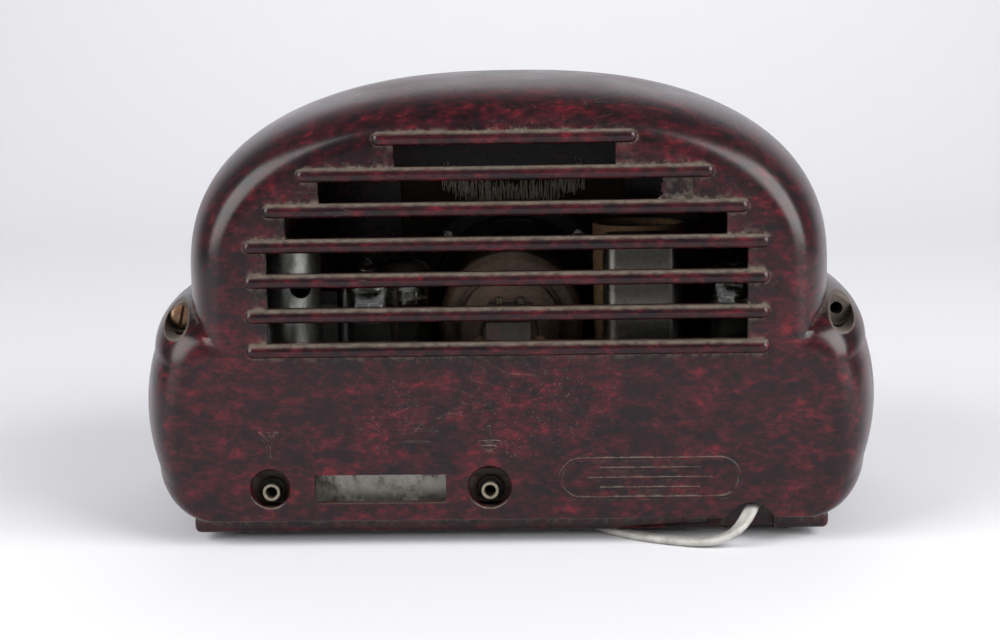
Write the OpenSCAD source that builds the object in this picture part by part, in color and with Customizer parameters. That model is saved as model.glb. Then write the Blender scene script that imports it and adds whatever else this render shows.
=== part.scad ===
// Small bakelite table radio, seen from its open-slotted rear.
// Millimetres. +Z up, the front faces -Y, +X is to the right as seen from the front.
// Depths inside the modules are counted from the parting plane between the case halves.

/* [Case] */
// Width of the lower body
case_w = 261.2; // [256:0.2:266]
// Height of the crown above the table
case_h = 160; // [156:1:168]
// Depth of the case between its flat faces
case_d = 150; // [146:1:160]
// How far each shoulder stands out beyond the dome
shoulder_out = 16.9; // [16:0.1:19]
// Height of the shoulders of the lower body
shoulder_h = 86; // [84:1:90]
// Thickness of the moulded walls
wall = 4; // [3.5:0.25:4.25]
// How far the outline draws in from the parting plane to a face
draw_in = 20; // [17:0.5:21]
// Radius of the shoulders
shoulder_r = 19; // [18:0.5:22]
// Radius of the lower corners
lower_r = 21; // [19:0.5:24]
// Swelling of the sides
side_bulge = 3.2; // [2:0.1:4]

/* [Base] */
// Height of the rubber feet
foot_h = 3; // [2.8:0.1:4]
// Radius of the rubber feet
foot_r = 5; // [4:0.5:6]
// Height of the plinth under the body
plinth_h = 4; // [3:0.5:5]
// Width of the plinth
plinth_w = 220; // [210:1:226]
// Depth of the plinth
plinth_d = 132; // [126:1:136]

/* [Grille] */
// Height of the lowest bar at the rear
low_bar_z = 68.72; // [67:0.1:70.5]
// Height of one bar
bar_h = 4.6; // [4:0.1:5.2]
// How far the bars stand out from the face
bar_proud = 3.5; // [2.5:0.1:4]
// How far the top bar at the rear lies below the crown
bar_drop = 20.3; // [19.5:0.1:21.5]
// How far a slot ends short of its bar
slot_short = 7; // [6:0.5:9]
// Half length of the front slots, which lie over the loudspeaker
front_slot_reach = 34; // [30:1:38]

/* [Rear openings] */
// Distance of the aerial socket from the middle
aerial_x = 81.7; // [79:0.1:84]
// Distance of the earth socket from the middle
earth_x = 6.6; // [4:0.1:9]
// Radius of the hole for the aerial socket
aerial_hole_r = 6.6; // [6:0.1:7]
// Radius of the hole for the earth socket
earth_hole_r = 7.1; // [6.5:0.1:7.4]
// Height of the two socket tubes
socket_z = 19; // [18.6:0.1:19.6]
// Width of the chassis window
window_w = 45; // [40:1:48]
// Height of the chassis window
window_h = 10; // [8:0.5:11]
// Width of the notch for the mains cord
notch_w = 18; // [16:1:20]

/* [Sockets] */
// Bore of a socket tube, for a plain 4 mm plug
socket_bore = 4; // [3.8:0.1:4.4]
// Outer diameter of a socket tube
socket_tube = 6; // [5.6:0.1:6.4]

/* [Chassis] */
// Width of the chassis
chassis_w = 196; // [190:1:200]
// Height of the underside of the chassis deck
deck_z = 32; // [31.6:0.1:32.6]
// Thickness of the sheet steel
sheet = 1; // [0.8:0.1:1.2]

/* [Loudspeaker] */
// Radius of the loudspeaker's rim
speaker_r = 40; // [39:0.5:41]
// Height of the loudspeaker's axis
speaker_z = 66.5; // [66.5:0.1:68]
// Radius of the field magnet pot
pot_r = 27; // [24:0.5:28]
// Length of the field magnet pot
pot_l = 43; // [38:1:46]
// Travel of the cone each way
cone_travel = 0.8; // [0.5:0.1:1]

/* [Tuning] */
// Distance of both control spindles from the middle
control_x = 80.5; // [78:0.5:82]
// Height of both control spindles
control_z = 22; // [21.8:0.1:22.4]
// Radius of both control spindles
spindle_r = 3; // [2.8:0.1:3.1]
// Radius of the drive drum, in its groove
drum_r = 17.7; // [17:0.1:18]
// Radius of the knobs
knob_r = 12.5; // [11:0.5:13]
// Length of the knobs
knob_l = 14.5; // [12:0.5:16]

/* [Valves and cans] */
// Radius of a valve's glass
valve_r = 11; // [10:0.5:11.5]
// Height of a valve above the deck, tip included
valve_h = 62; // [56:1:64]
// Width of the square coil can
square_can_w = 27; // [24:0.5:28]
// Height of the square coil can
square_can_h = 69; // [60:1:70]
// Radius of the round coil can
round_can_r = 12; // [10:0.5:13]
// Height of the round coil can
round_can_h = 69; // [60:1:70]
// Radius of the cardboard capacitor
cardboard_r = 17; // [15:0.5:17.5]
// Height of the cardboard capacitor
cardboard_h = 70; // [60:1:72]

/* [Mains cord] */
// Width of the flat twin cord
cord_w = 5; // [4.6:0.1:5]
// Thickness of the flat twin cord
cord_t = 2.5; // [2.2:0.1:2.5]
// Turns of the coil in each of its two layers
coil_turns = 3.125; // [2.125:0.5:3.125]

/* [Hidden] */

$fn = 48;
gap = 0.3;            // clearance between pieces that pass each other
fit = 0.05;           // running clearance of shafts in their bores
half_d = case_d / 2;
belly_h = foot_h + plinth_h;
inner_y = half_d - wall;
dome_w = case_w - 2 * shoulder_out;
rear_bar_top = case_h - bar_drop;

// Shape of the case
profile_power = 2.6;  // how square the case is in depth
dome_power = 2.42;    // how square the dome is in front view
dome_spring = 92;     // height where the dome's sides turn vertical
dome_root = 45;       // depth to which the dome sinks into the lower body
ease = 0.65;          // share of the draw that the corner radii take up
belly_draw = 0.15;    // share of the draw at the underside
groove = 0.7;         // depth and half width of the parting groove
rings = 6;
dome_steps = 12;
corner_steps = 6;
side_steps = 4;

// Reach of the bars, from the top one down: they end this far inside the dome's flanks
bar_insets = [69.7, 44.2, 32.7, 25.7, 25.7, 25.7, 25.7];
rear_bars = [for (inset = bar_insets) dome_w / 2 - inset];
front_bars = [for (i = [2, 3, 3, 3, 3, 3, 3]) rear_bars[i]];
bar_pitch = (rear_bar_top - low_bar_z) / (len(rear_bars) - 1);
front_bar_drop = 2;   // the front grille sits this many pitches lower
bar_nose = half_d + bar_proud;

// The origin lies under the middle of the case with its bars and knobs
knob_back = half_d + 1.5;
front_reach = knob_back + knob_l;
parting_y = (front_reach - bar_nose) / 2;

// Plinth and feet
plinth_rim = 6;
plinth_sink = 2.5;    // the plinth reaches this far into the body
plinth_corner = 12;
pad_wall = 1.5;
foot_x = plinth_w / 2 - 14;
foot_y = plinth_d / 2 - 16;
stud_r = 2;
stud_h = 4;

// Case screws
boss_x = case_w / 2 - 16.2;
boss_z = shoulder_h - 8.8;
boss_r = 7;
recess_r = 5;
recess_y = half_d - 27;
screw_r = 1.9;
screw_head_r = 4.1;
screw_head_h = 2.6;
screw_depth = 18;
boss_tail = 7;        // the front boss goes on this far past the screw
recess_floor = 3;
slot_w = 1;
slot_turn = 12;

// Rear panel
window_x = 44;
window_z = 20.5;
hole_z = socket_z + 1.8;
cartouche_x = -48;
cartouche_z = 23.5;
cartouche_w = 62;
cartouche_h = 14.6;
emblem = 0.6;         // height of the raised marks
mark_sink = 0.5;
mark_line = 1;
mark_mast = 4.5;
mark_arm = 5.4;
arm_slant = 35;
aerial_mark_z = hole_z + 15.5;
earth_mark_z = hole_z + 17;
earth_line = 3.6;     // half length of the longest line
earth_step = 1.2;
earth_pitch = 1.8;
cartouche_pitch = 3.4;
cartouche_end = 10;
cartouche_step = 4;
notch_x = -(case_w / 2 - 48.6);
notch_z = belly_h + 7.7;

// Chassis
deck_top = deck_z + sheet;
chassis_rear = half_d - 9;
chassis_front = -(half_d - 17);
deck_front = -26;     // the deck's middle stops behind the loudspeaker
wing_x = 52;
side_low = belly_h + 13;
flange_low = belly_h + 7;
apron_top = deck_z - 4; // the front apron under the loudspeaker
apron_x = 30;         // beyond this the apron rises to the wings
cord_gate = [6, 10, 3.2]; // cut for the cord in the rear flange: towards the end, the middle and up
post_x = chassis_w / 2 - 10;
post_r = 5;
post_drill = 12;
chassis_screw_l = 10;
chassis_head_r = 3.2;
chassis_head_h = 2;
socket_hole_r = 5.4;
socket_collar_r = 4.4;
socket_collar_t = 0.8;
socket_nut_r = 4.6;
socket_nut_l = 2.5;
socket_tail = 6;
board_half = 11;
board_short = 6;      // the boards end this far under the deck
post_ys = [-40, -20];
post_hole_r = 1.3;
bush_r = 4.5;         // neck of the spindle bush and of the volume control
board_y1 = chassis_rear + 1.5;

// Loudspeaker
rim_y = -(half_d - 9);
basket_back = rim_y + 31;
basket_t = 1;
basket_throat_r = speaker_r - 7;
basket_neck_r = 24;
basket_window = 16;
speaker_head_r = 2.4;
speaker_head_h = 1.6;
cloth_t = 0.3;
cloth_half = 46;
cloth_over = 11;      // the cloth reaches this far above the rim
cone_t = 0.6;
cone_cap = [5, 18];   // radius of the dust cap, and its depth behind the rim
cone_fold = 3;
cone_neck = 21;
strip_half = 8;
tag_half = 1;
tag_x = 4;
lead_out = 10.6;      // the leads meet the winding beside the core
plate_t = 4;
pot_front = basket_back + plate_t;
pot_back = basket_back + pot_l;
pot_wall = 3;
pot_floor = pot_back - 5;
pole_r = 6.8;
plate_bore = 9;
boss_plate_r = 19;
lead_r = 0.7;
boss_plate_t = 4;
speaker_post_r = 3.2;
post_ring_r = speaker_r - 3;
upper_bar = round((rear_bar_top - speaker_z - 26) / bar_pitch);
upper_post_z = rear_bar_top - upper_bar * bar_pitch;
upper_post_x = sqrt(pow(post_ring_r, 2) - pow(upper_post_z - speaker_z, 2));
lower_post = post_ring_r * cos(45);
speaker_posts = [
  [upper_post_x, upper_post_z], [-upper_post_x, upper_post_z],
  [lower_post, speaker_z - lower_post], [-lower_post, speaker_z - lower_post]
];

// Way of a lead: share of the step sideways, share of the way back, height from the axis
lead_route = [
  [0, 0, 8], [0, 0.12, 8], [0.34, 0.3, 6.8], [0.7, 0.46, 4.6], [0.93, 0.6, 1.8],
  [1, 0.75, -1], [1, 0.9, -2.8], [1, 1, -3.1]
];

// Tuning drive: every cord centre line lies cord_lift above its groove or guide
drive_y = -(half_d - 14.5);
drive_cord_r = 0.45;
cord_lift = gap + drive_cord_r;
spindle_wrap = spindle_r + cord_lift;
drum_wrap = drum_r + cord_lift - 0.2;
drum_x = control_x + spindle_wrap - drum_wrap;
drum_z = 52;
guide_r = spindle_wrap - cord_lift;
left_guide_x = -44;
corner_x = drum_x - drum_wrap - spindle_wrap;
corner_z = control_z + 2 * spindle_wrap;
gang_y0 = -50;
gang_y1 = -12;
plate_sheet = 1.5;
vane_r = 14;
vane_t = 0.6;
vane_pitch = 2.4;
rotor_vanes = 10;
vane_y0 = (gang_y0 + gang_y1) / 2 - vane_pitch * rotor_vanes / 2;
stator_r = 17.5;
gang_half = 16;
gang_rise = 20;       // the end plates reach this far above the axis
stay_x = 12.7;
stay_z = 9.8;
stay_r = 0.9;
drum_rim = 1.6;
drum_hub = 6;
drum_hole_at = 11;
drum_hole_r = 3.6;

// Spindles and knobs
bush_l = 8;
spindle_tip = 2;      // the knob's bore stops this far short of its face
knob_skirt = 1.2;     // the skirt stands out this far from the grip
skirt_h = 3;
flutes = 18;
flute_r = 1.9;
control_r = 9;
control_l = 12;

// Dial
dial_low = belly_h + 7.3;
dial_high = dial_low + 10.5;
scale_y = -(half_d - 9.6);
scale_t = 0.6;
dial_reach = 42;
rail_r = 0.8;
rail_reach = 40;
lamp_x = -50;
lamp_y = -(half_d - 12.8);
lamp_z = 21;
lamp_r = 2.9;

// Valves, as [x, y]
mixer_at = [50.3, 35];
if_at = [-80, 30];
output_at = [-80, -1];
rectifier_at = [40, 4];
valve_places = [mixer_at, if_at, output_at, rectifier_at];
socket_h = 1.5;
valve_hole_r = 9;
socket_sunk = 4;      // how far a valve socket reaches below the deck
glass_t = 0.8;
dome_top_r = 3;       // radius where the domed top of the glass meets the tip
dome_rise = 6;
glass_shoulder = 10;  // the glass draws in this far below the end of its tip
stage_r = 4.6;        // circle of the electrodes' rods
valve_base = deck_top + socket_h;
square_can_at = [-47.4, 31];
round_can_at = [78.7, 38];
cardboard_at = [-48, -4];
can_t = 0.8;
can_corner = 5;
can_top_hole = 3;
can_side_hole = 4.2;
can_flange = 2.5;
coil_former_r = 4;
coil_r = 7.5;
card_rim = 1.5;
card_recess = 2.5;
transformer_at = [0, 38];
core_half = [8, 14];
core_h = 41;
core_window = 4.5;
core_window_y = 7.25;
winding_low = 8;      // the winding lies this far inside the ends of the core
winding_half = [13, 9.3];
limb_half = core_window_y - core_window / 2;
core_slack = 0.2;

// Under the chassis
strip_t = 1.5;
strip_low = 21;
strip_ys = [15, 46];
strip_reach = 60;
part_z = 26;
wire_r = 0.45;
paper_at = [-52, -40, -28];
paper_l = 22;
paper_r = 4.5;
resistor_at = -17;
resistor_pitch = 8;
resistor_l = 14;
resistor_r = 2.2;
ballast_at = 32;
ballast_l = 24;
ballast_r = 5;

// Mains cord. The route of the free stretch, from the clamp to the coil
clamp_at = [notch_x - 3, 58];
clamp_half = 8;
clamp_d = 8;
clamp_h = 4.6;
clamp_screw_x = 5.5;
clamp_screw_r = 1.8;
clamp_low = belly_h + 5.4;
clamp_top = clamp_low + clamp_h + 1.4;

// Points from the clamp to the coil: how far beside the straight lane under the case, depth, height
cord_plan = [
  [67.2, 58, 14], [67.2, 62, 14], [66.6, 66, 13.6], [65.4, 70.5, 12.5], [63.5, 74.6, 10.4],
  [61, 77.5, 7.6], [57.6, 79, 4.9], [53.2, 79, 2.9], [47.8, 77.8, 1.8], [41.7, 75.6, 1.4],
  [35.2, 72.6, 1.3], [28.7, 68.8, 1.3], [22.6, 64.2, 1.3], [17.1, 58.8, 1.3], [12.4, 52.5, 1.3],
  [8.5, 45.4, 1.3], [5.4, 37.5, 1.3], [3, 28.6, 1.3], [1.4, 19, 1.3], [0.4, 8, 1.3],
  [0, -5, 1.3], [0, -20, 1.3], [0, -36, 1.3], [0, -52, 1.3], [0, -66, 1.35],
  [0, -79, 1.5], [0, -91, 1.8], [0, -102, 2.1], [0, -110, 2.25]
];
coil_at = [20, -128];
coil_pitch = cord_w + 0.6;
coil_outer = 37.8;
lane_x = coil_at[0] - coil_outer;
cord_route = [for (p = cord_plan) [lane_x - p[0] * (lane_x - clamp_at[0]) / cord_plan[0][0], p[1], p[2]]];
coil_low = 2.25;
coil_climb = cord_t + 0.6;
coil_rings = 24;

// The coil spirals in on its lower layer, climbs half a turn and spirals out on the upper one
coil_start = 180;
coil_total = 2 * coil_rings * coil_turns;
coil_steps_up = coil_rings / 2;
function coil_radius(i) = coil_outer - coil_pitch * min(i, coil_total - i) / coil_rings;
function coil_rise(i) = min(1, max(0, (i - (coil_total - coil_steps_up) / 2) / coil_steps_up));
function coil_point(i) =
  let (a = coil_start + 360 * i / coil_rings, r = coil_radius(i))
  [coil_at[0] + r * cos(a), coil_at[1] + r * sin(a), coil_low + coil_climb * coil_rise(i)];
coil_end = coil_point(coil_total);

// Plug, and the tail of the cord that bends aside and lifts to it
plug_z = 7;           // half the plug's thickness
plug_w = 36;
plug_l = 30;
plug_face = 71;
plug_plan = [
  [0, -6], [6, -7], [12, -13], [17, -17], [22, -18], [30, -18],
  [30, 18], [22, 18], [17, 17], [12, 13], [6, 7], [0, 6]
];
plug_side = [
  [0, -4.5], [6, -5], [12, -6.6], [17, -7], [30, -7],
  [30, 7], [17, 7], [12, 6.6], [6, 5], [0, 4.5]
];
plug_core = 0.955;    // share of the plan inside the groove of the joint
plug_screw_x = 16;
plug_screw_l = 4;     // below the middle of the plug
plug_screw_r = 1.5;
plug_head_r = 3;
plug_sink = 2.6;
pin_r = 2;
pin_l = 19;
pin_spacing = 19;
pin_root = 20;
pin_shank_r = 1.6;
tail_l = 46;
tail_r = 54;
tail_in = 5;          // how far the cord goes into the plug
function tail_side(s) =
  s < tail_l / 2 ? s * s / (2 * tail_r) : (tail_l * tail_l / 2 - pow(tail_l - s, 2)) / (2 * tail_r);
function tail_lift(s) = let (u = s / tail_l) (plug_z - coil_end[2]) * u * u * (3 - 2 * u);
coil_path = concat(
  [coil_point(0) + [0, 18, 0], coil_point(0) + [0, 9, 0]],
  [for (i = [0 : coil_total]) coil_point(i)],
  [for (i = [1 : 8]) let (s = tail_l * i / 8) coil_end + [s, tail_side(s), tail_lift(s)]],
  [[plug_face + tail_in, coil_end[1] + tail_side(tail_l), plug_z]]);

// Band round the coil
tie_t = 0.5;
tie_w = 6;
tie_low = 0.2;
tie_top = coil_low + coil_climb + cord_t / 2 + 0.8;
tie_out = coil_outer + 0.4;
tie_in = coil_outer - coil_pitch * coil_turns - 1.1;

// Least gap between two stretches of the coil that are not neighbours along the cord
function turn_gap(a, b) =
  let (across = norm([a[0] - b[0], a[1] - b[1]]), rise = abs(a[2] - b[2]))
  max(across - cord_w, rise - cord_t, (across + rise - cord_w) / sqrt(2));
echo(coil_gap = min([for (i = [0 : len(coil_path) - 1], j = [i + 8 : 1 : len(coil_path) - 1])
  turn_gap(coil_path[i], coil_path[j])]));

// Outlines of the case: half an outline runs from the top down the right side
function arc(x, z, r, a0, a1, n) =
  [for (i = [0 : n]) let (a = a0 + (a1 - a0) * i / n) [x + r * cos(a), z + r * sin(a)]];
function both_sides(half) =
  concat(half, [for (i = [len(half) - 1 : -1 : 0]) if (half[i][0] > 0) [-half[i][0], half[i][1]]]);
function dome_outline(d, w) =
  let (a = dome_w / 2 - d - w, b = case_h - dome_spring - d - w)
  both_sides(concat(
    [for (i = [0 : dome_steps])
      let (t = 90 * (1 - i / dome_steps))
      [a * pow(cos(t), 2 / dome_power), dome_spring + b * pow(sin(t), 2 / dome_power)]],
    [[a, dome_root]]));
function body_outline(d, w) =
  let (
    upper_z = shoulder_h - shoulder_r - (1 - ease) * d,
    upper_x = case_w / 2 - side_bulge - shoulder_r - (1 - ease) * d,
    lower_z = belly_h + belly_draw * d + lower_r - ease * d,
    lower_x = case_w / 2 - side_bulge - lower_r - (1 - ease) * d,
    flank = case_w / 2 - d - w
  )
  both_sides(concat(
    arc(upper_x, upper_z, shoulder_r - ease * d - w, 90, 0, corner_steps),
    [for (i = [1 : side_steps - 1])
      let (u = 1 - 2 * i / side_steps)
      [flank - side_bulge * u * u, (upper_z + lower_z) / 2 + u * (upper_z - lower_z) / 2]],
    arc(lower_x, lower_z, lower_r - ease * d - w, 0, -90, corner_steps)));

// Sections along the depth, as [depth, inset]
function section(i, depth) =
  let (t = 90 * i / rings)
  [depth * pow(sin(t), 2 / profile_power), draw_in * (1 - pow(cos(t), 2 / profile_power))];
outer_sections = concat([[0, groove], [groove, 0]], [for (i = [1 : rings]) section(i, half_d)]);
inner_sections = concat([[-1, 0]], [for (i = [1 : rings]) section(i, inner_y)]);
function at_depth(y, outline) = [for (p = outline) [p[0], y, p[1]]];
function dome_rings(sections, w) = [for (s = sections) at_depth(s[0], dome_outline(s[1], w))];
function body_rings(sections, w) = [for (s = sections) at_depth(s[0], body_outline(s[1], w))];

// Skin over a list of rings with equally many points each, with flat ends
module loft(skin) {
  n = len(skin[0]);
  m = len(skin);
  polyhedron(
    points = [for (r = skin) each r],
    faces = concat(
      [[for (i = [0 : n - 1]) i]],
      [[for (i = [n - 1 : -1 : 0]) (m - 1) * n + i]],
      [for (j = [0 : m - 2], i = [0 : n - 1])
        let (a = j * n + i, b = j * n + (i + 1) % n)
        each [[a, a + n, b + n], [a, b + n, b]]]));
}

// Sweep of a flat cord along a path; its wide side stays level
function unit(v) = v / norm(v);
function heading(path, i) = unit(path[min(i + 1, len(path) - 1)] - path[max(i - 1, 0)]);
function cord_ring(path, i, shape) =
  let (t = heading(path, i), s = unit(cross(t, [0, 0, 1])), u = cross(s, t))
  [for (q = shape) path[i] + q[0] * s + q[1] * u];
module sweep(path, shape) {
  loft([for (i = [0 : len(path) - 1]) cord_ring(path, i, shape)]);
}
function flat_section(w, t) = [
  [w / 2, t / 5], [w / 2 - t / 3, t / 2], [t / 3 - w / 2, t / 2], [-w / 2, t / 5],
  [-w / 2, -t / 5], [t / 3 - w / 2, -t / 2], [w / 2 - t / 3, -t / 2], [w / 2, -t / 5]
];
function flat_section_6(w, t) = [
  [w / 2, 0], [w / 2 - t / 2, t / 2], [t / 2 - w / 2, t / 2],
  [-w / 2, 0], [t / 2 - w / 2, -t / 2], [w / 2 - t / 2, -t / 2]
];

module from_parting() {
  translate([0, parting_y, 0]) children();
}
// Cylinder along Y from y0 to y1
module rod_y(x, z, y0, y1, r) {
  translate([x, y0, z]) rotate([-90, 0, 0]) cylinder(h = y1 - y0, r = r);
}
module rod_x(y, z, x0, x1, r) {
  translate([x0, y, z]) rotate([0, 90, 0]) cylinder(h = x1 - x0, r = r);
}
module rod_z(x, y, z0, z1, r) {
  translate([x, y, z0]) cylinder(h = z1 - z0, r = r);
}
// Block between two opposite corners
module block(a, b) {
  translate(a) cube(b - a);
}
// Turned piece about an axis along Y, from [radius, y] points
module turned_y(x, z, points) {
  translate([x, 0, z]) rotate([-90, 0, 0]) rotate_extrude() polygon(points);
}
module round_slab(x0, x1, y0, y1, z0, z1, r) {
  block([x0 + r, y0, z0], [x1 - r, y1, z1]);
  block([x0, y0 + r, z0], [x1, y1 - r, z1]);
  for (x = [x0 + r, x1 - r], y = [y0 + r, y1 - r]) rod_z(x, y, z0, z1, r);
}

// Case
module case_half_outer() {
  loft(dome_rings(outer_sections, 0));
  loft(body_rings(outer_sections, 0));
}
module case_half_cavity() {
  loft(dome_rings(inner_sections, wall));
  loft(body_rings(inner_sections, wall));
}
module plinth_half() {
  hw = plinth_w / 2;
  top = belly_h + plinth_sink;
  difference() {
    intersection() {
      round_slab(-hw, hw, -plinth_d / 2, plinth_d / 2, foot_h, top, plinth_corner);
      block([-case_w, 0, 0], [case_w, case_d, top]);
    }
    block([plinth_rim - hw, -1, 0], [hw - plinth_rim, plinth_d / 2 - plinth_rim, top + 1]);
  }
  for (side = [-1, 1]) foot_pad(side);
}
// Solid corner under each end that takes the stud of a foot
module foot_pad(side) {
  rod_z(side * foot_x, foot_y, foot_h, belly_h + plinth_sink, foot_r + pad_wall);
}
module foot_holes() {
  for (side = [-1, 1]) rod_z(side * foot_x, foot_y, foot_h - 1, foot_h + stud_h + gap, stud_r + fit);
}
module bar(reach, z) {
  r = bar_h / 2;
  nose_y = bar_nose - r;
  for (side = [-1, 1]) {
    rod_y(side * (reach - r), z, inner_y, nose_y, r);
    translate([side * (reach - r), nose_y, z]) sphere(r);
  }
  rod_x(nose_y, z, r - reach, reach - r, r);
  block([r - reach, inner_y, z - r], [reach - r, nose_y, z + r]);
}
module bars(reaches, top) {
  for (i = [0 : len(reaches) - 1]) bar(reaches[i], top - i * bar_pitch);
}
module slots(reaches, top) {
  for (i = [0 : len(reaches) - 2])
    block([-reaches[i], inner_y - 2, top - (i + 1) * bar_pitch + bar_h / 2 - 0.1],
      [reaches[i], bar_nose + 1, top - i * bar_pitch - bar_h / 2 + 0.1]);
}
module screw_bosses(depth) {
  for (side = [-1, 1]) rod_y(side * boss_x, boss_z, -1, depth, boss_r);
}

module rear_cover() {
  color([0.25, 0.05, 0.07]) from_parting() {
    difference() {
      union() {
        case_half_outer();
        plinth_half();
      }
      difference() {
        case_half_cavity();
        screw_bosses(recess_y + recess_floor);
        block([clamp_at[0] - clamp_half - 2, clamp_at[1] - clamp_d - 4, 0],
          [clamp_at[0] + clamp_half + 2, clamp_at[1] + 2, clamp_low]);
      }
      foot_holes();
      slots([for (r = rear_bars) r - slot_short], rear_bar_top);
      for (side = [-1, 1]) {
        rod_y(side * boss_x, boss_z, -1, recess_y + 1, screw_r + gap);
        rod_y(side * boss_x, boss_z, recess_y, bar_nose, recess_r);
      }
      rod_y(aerial_x, hole_z, inner_y - 2, bar_nose, aerial_hole_r);
      rod_y(earth_x, hole_z, inner_y - 2, bar_nose, earth_hole_r);
      block([window_x - window_w / 2, inner_y - 2, window_z - window_h / 2],
        [window_x + window_w / 2, bar_nose, window_z + window_h / 2]);
      cord_notch();
    }
    bars(rear_bars, rear_bar_top);
    cartouche();
    aerial_mark();
    earth_mark();
  }
}
module cord_notch() {
  r = notch_w / 2;
  block([notch_x - r, clamp_at[1] + 3, -1], [notch_x + r, bar_nose, notch_z - r]);
  rod_y(notch_x, notch_z - r, clamp_at[1] + 3, bar_nose, r);
}
// Raised pill-shaped frame with three plain lines
module cartouche() {
  difference() {
    pill(cartouche_h / 2, 0);
    pill(cartouche_h / 2 - mark_line, 1);
  }
  for (i = [-1 : 1]) {
    reach = cartouche_w / 2 - cartouche_end - cartouche_step * abs(i);
    z = cartouche_z + cartouche_pitch * i;
    block([cartouche_x - reach, half_d - mark_sink, z - mark_line / 2],
      [cartouche_x + reach, half_d + emblem, z + mark_line / 2]);
  }
}
module pill(r, extra) {
  reach = cartouche_w / 2 - cartouche_h / 2;
  y0 = half_d - mark_sink - extra;
  y1 = half_d + emblem + extra;
  for (side = [-1, 1]) rod_y(cartouche_x + side * reach, cartouche_z, y0, y1, r);
  block([cartouche_x - reach, y0, cartouche_z - r], [cartouche_x + reach, y1, cartouche_z + r]);
}
// Raised mark of a mast with two slanted arms
module aerial_mark() {
  translate([aerial_x, half_d - mark_sink, aerial_mark_z]) {
    mark_stroke(-mark_mast, mark_mast);
    for (side = [-1, 1]) rotate([0, side * arm_slant, 0]) mark_stroke(0, mark_arm);
  }
}
// Raised mark of a mast over three shrinking lines
module earth_mark() {
  translate([earth_x, half_d - mark_sink, earth_mark_z]) {
    mark_stroke(-mark_line, mark_mast);
    for (i = [0 : 2]) {
      reach = earth_line - earth_step * i;
      top = -earth_pitch * i - 0.6;
      block([-reach, 0, top - 0.9], [reach, mark_sink + emblem, top]);
    }
  }
}
module mark_stroke(low, high) {
  block([-mark_line / 2, 0, low], [mark_line / 2, mark_sink + emblem, high]);
}

module front_cover() {
  color([0.25, 0.05, 0.07]) from_parting() difference() {
    mirror([0, 1, 0]) {
      case_half_outer();
      plinth_half();
      bars(front_bars, rear_bar_top - front_bar_drop * bar_pitch);
    }
    difference() {
      mirror([0, 1, 0]) case_half_cavity();
      mirror([0, 1, 0]) screw_bosses(screw_depth + boss_tail);
      for (side = [-1, 1], y = post_ys) rod_z(side * post_x, y, 0, deck_z, post_r);
      for (p = speaker_posts) rod_y(p[0], p[1], -half_d, rim_y, speaker_post_r);
    }
    mirror([0, 1, 0]) {
      foot_holes();
      slots([for (r = front_bars) front_slot_reach], rear_bar_top - front_bar_drop * bar_pitch);
    }
    for (side = [-1, 1]) {
      rod_y(side * boss_x, boss_z, -screw_depth - 3, 1, screw_r + 0.1);
      rod_y(side * control_x, control_z, -bar_nose, 2 - inner_y, spindle_r + 1.5);
    }
    for (side = [-1, 1], y = post_ys) rod_z(side * post_x, y, deck_z - post_drill, deck_z + 1, post_hole_r);
    for (p = speaker_posts) rod_y(p[0], p[1], -inner_y, rim_y + 1, post_hole_r);
    block([-dial_reach + 2, -bar_nose, dial_low + 1.2], [dial_reach - 2, 2 - inner_y, dial_high + 0.7]);
  }
}
module case_screw() {
  color([0.42, 0.27, 0.18]) from_parting() difference() {
    union() {
      rod_y(boss_x, boss_z, -screw_depth, recess_y + 1, screw_r);
      rod_y(boss_x, boss_z, recess_y, recess_y + screw_head_h, screw_head_r);
    }
    translate([boss_x, recess_y, boss_z]) rotate([0, slot_turn, 0])
      block([-slot_w / 2, screw_head_h / 2, -recess_r], [slot_w / 2, screw_head_h + 1, recess_r]);
  }
}
module rubber_feet() {
  color([0.08, 0.08, 0.08]) from_parting()
    for (sx = [-1, 1], sy = [-1, 1]) {
      rod_z(sx * foot_x, sy * foot_y, 0, foot_h, foot_r);
      rod_z(sx * foot_x, sy * foot_y, 0, foot_h + stud_h, stud_r);
    }
}

// Chassis
module chassis() {
  hw = chassis_w / 2;
  color([0.62, 0.62, 0.6]) from_parting() difference() {
    union() {
      block([-hw, deck_front, deck_z], [hw, chassis_rear, deck_top]);
      for (turned = [0, 1]) mirror([turned, 0, 0]) {
        block([wing_x, chassis_front, deck_z], [hw, deck_front + 1, deck_top]);
        block([apron_x, chassis_front, flange_low], [hw, chassis_front + sheet, deck_top]);
        block([hw - sheet, chassis_front, side_low], [hw, chassis_rear, deck_top]);
      }
      block([-hw, chassis_front, flange_low], [hw, chassis_front + sheet, apron_top]);
      block([-hw, chassis_rear - sheet, flange_low], [hw, chassis_rear, deck_top]);
    }
    for (p = valve_places) rod_z(p[0], p[1], deck_z - 1, deck_top + 1, valve_hole_r);
    for (side = [-1, 1], y = post_ys) rod_z(side * post_x, y, deck_z - 1, deck_top + 1, 2);
    for (x = [aerial_x, earth_x]) rod_y(x, socket_z, chassis_rear - 3, chassis_rear + 1, socket_hole_r);
    for (side = [-1, 1])
      rod_y(side * control_x, control_z, chassis_front - 1, chassis_front + 3, bush_r);
    block([notch_x - cord_gate[0] - 3, chassis_rear - 2, 0],
      [notch_x + cord_gate[1] - 3, chassis_rear + 1, flange_low + cord_gate[2]]);
  }
}
module chassis_screws() {
  color([0.7, 0.68, 0.62]) from_parting()
    for (side = [-1, 1], y = post_ys) {
      rod_z(side * post_x, y, deck_z - chassis_screw_l, deck_top + 1, post_hole_r - 0.1);
      rod_z(side * post_x, y, deck_top, deck_top + chassis_head_h, chassis_head_r);
    }
}
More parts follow.
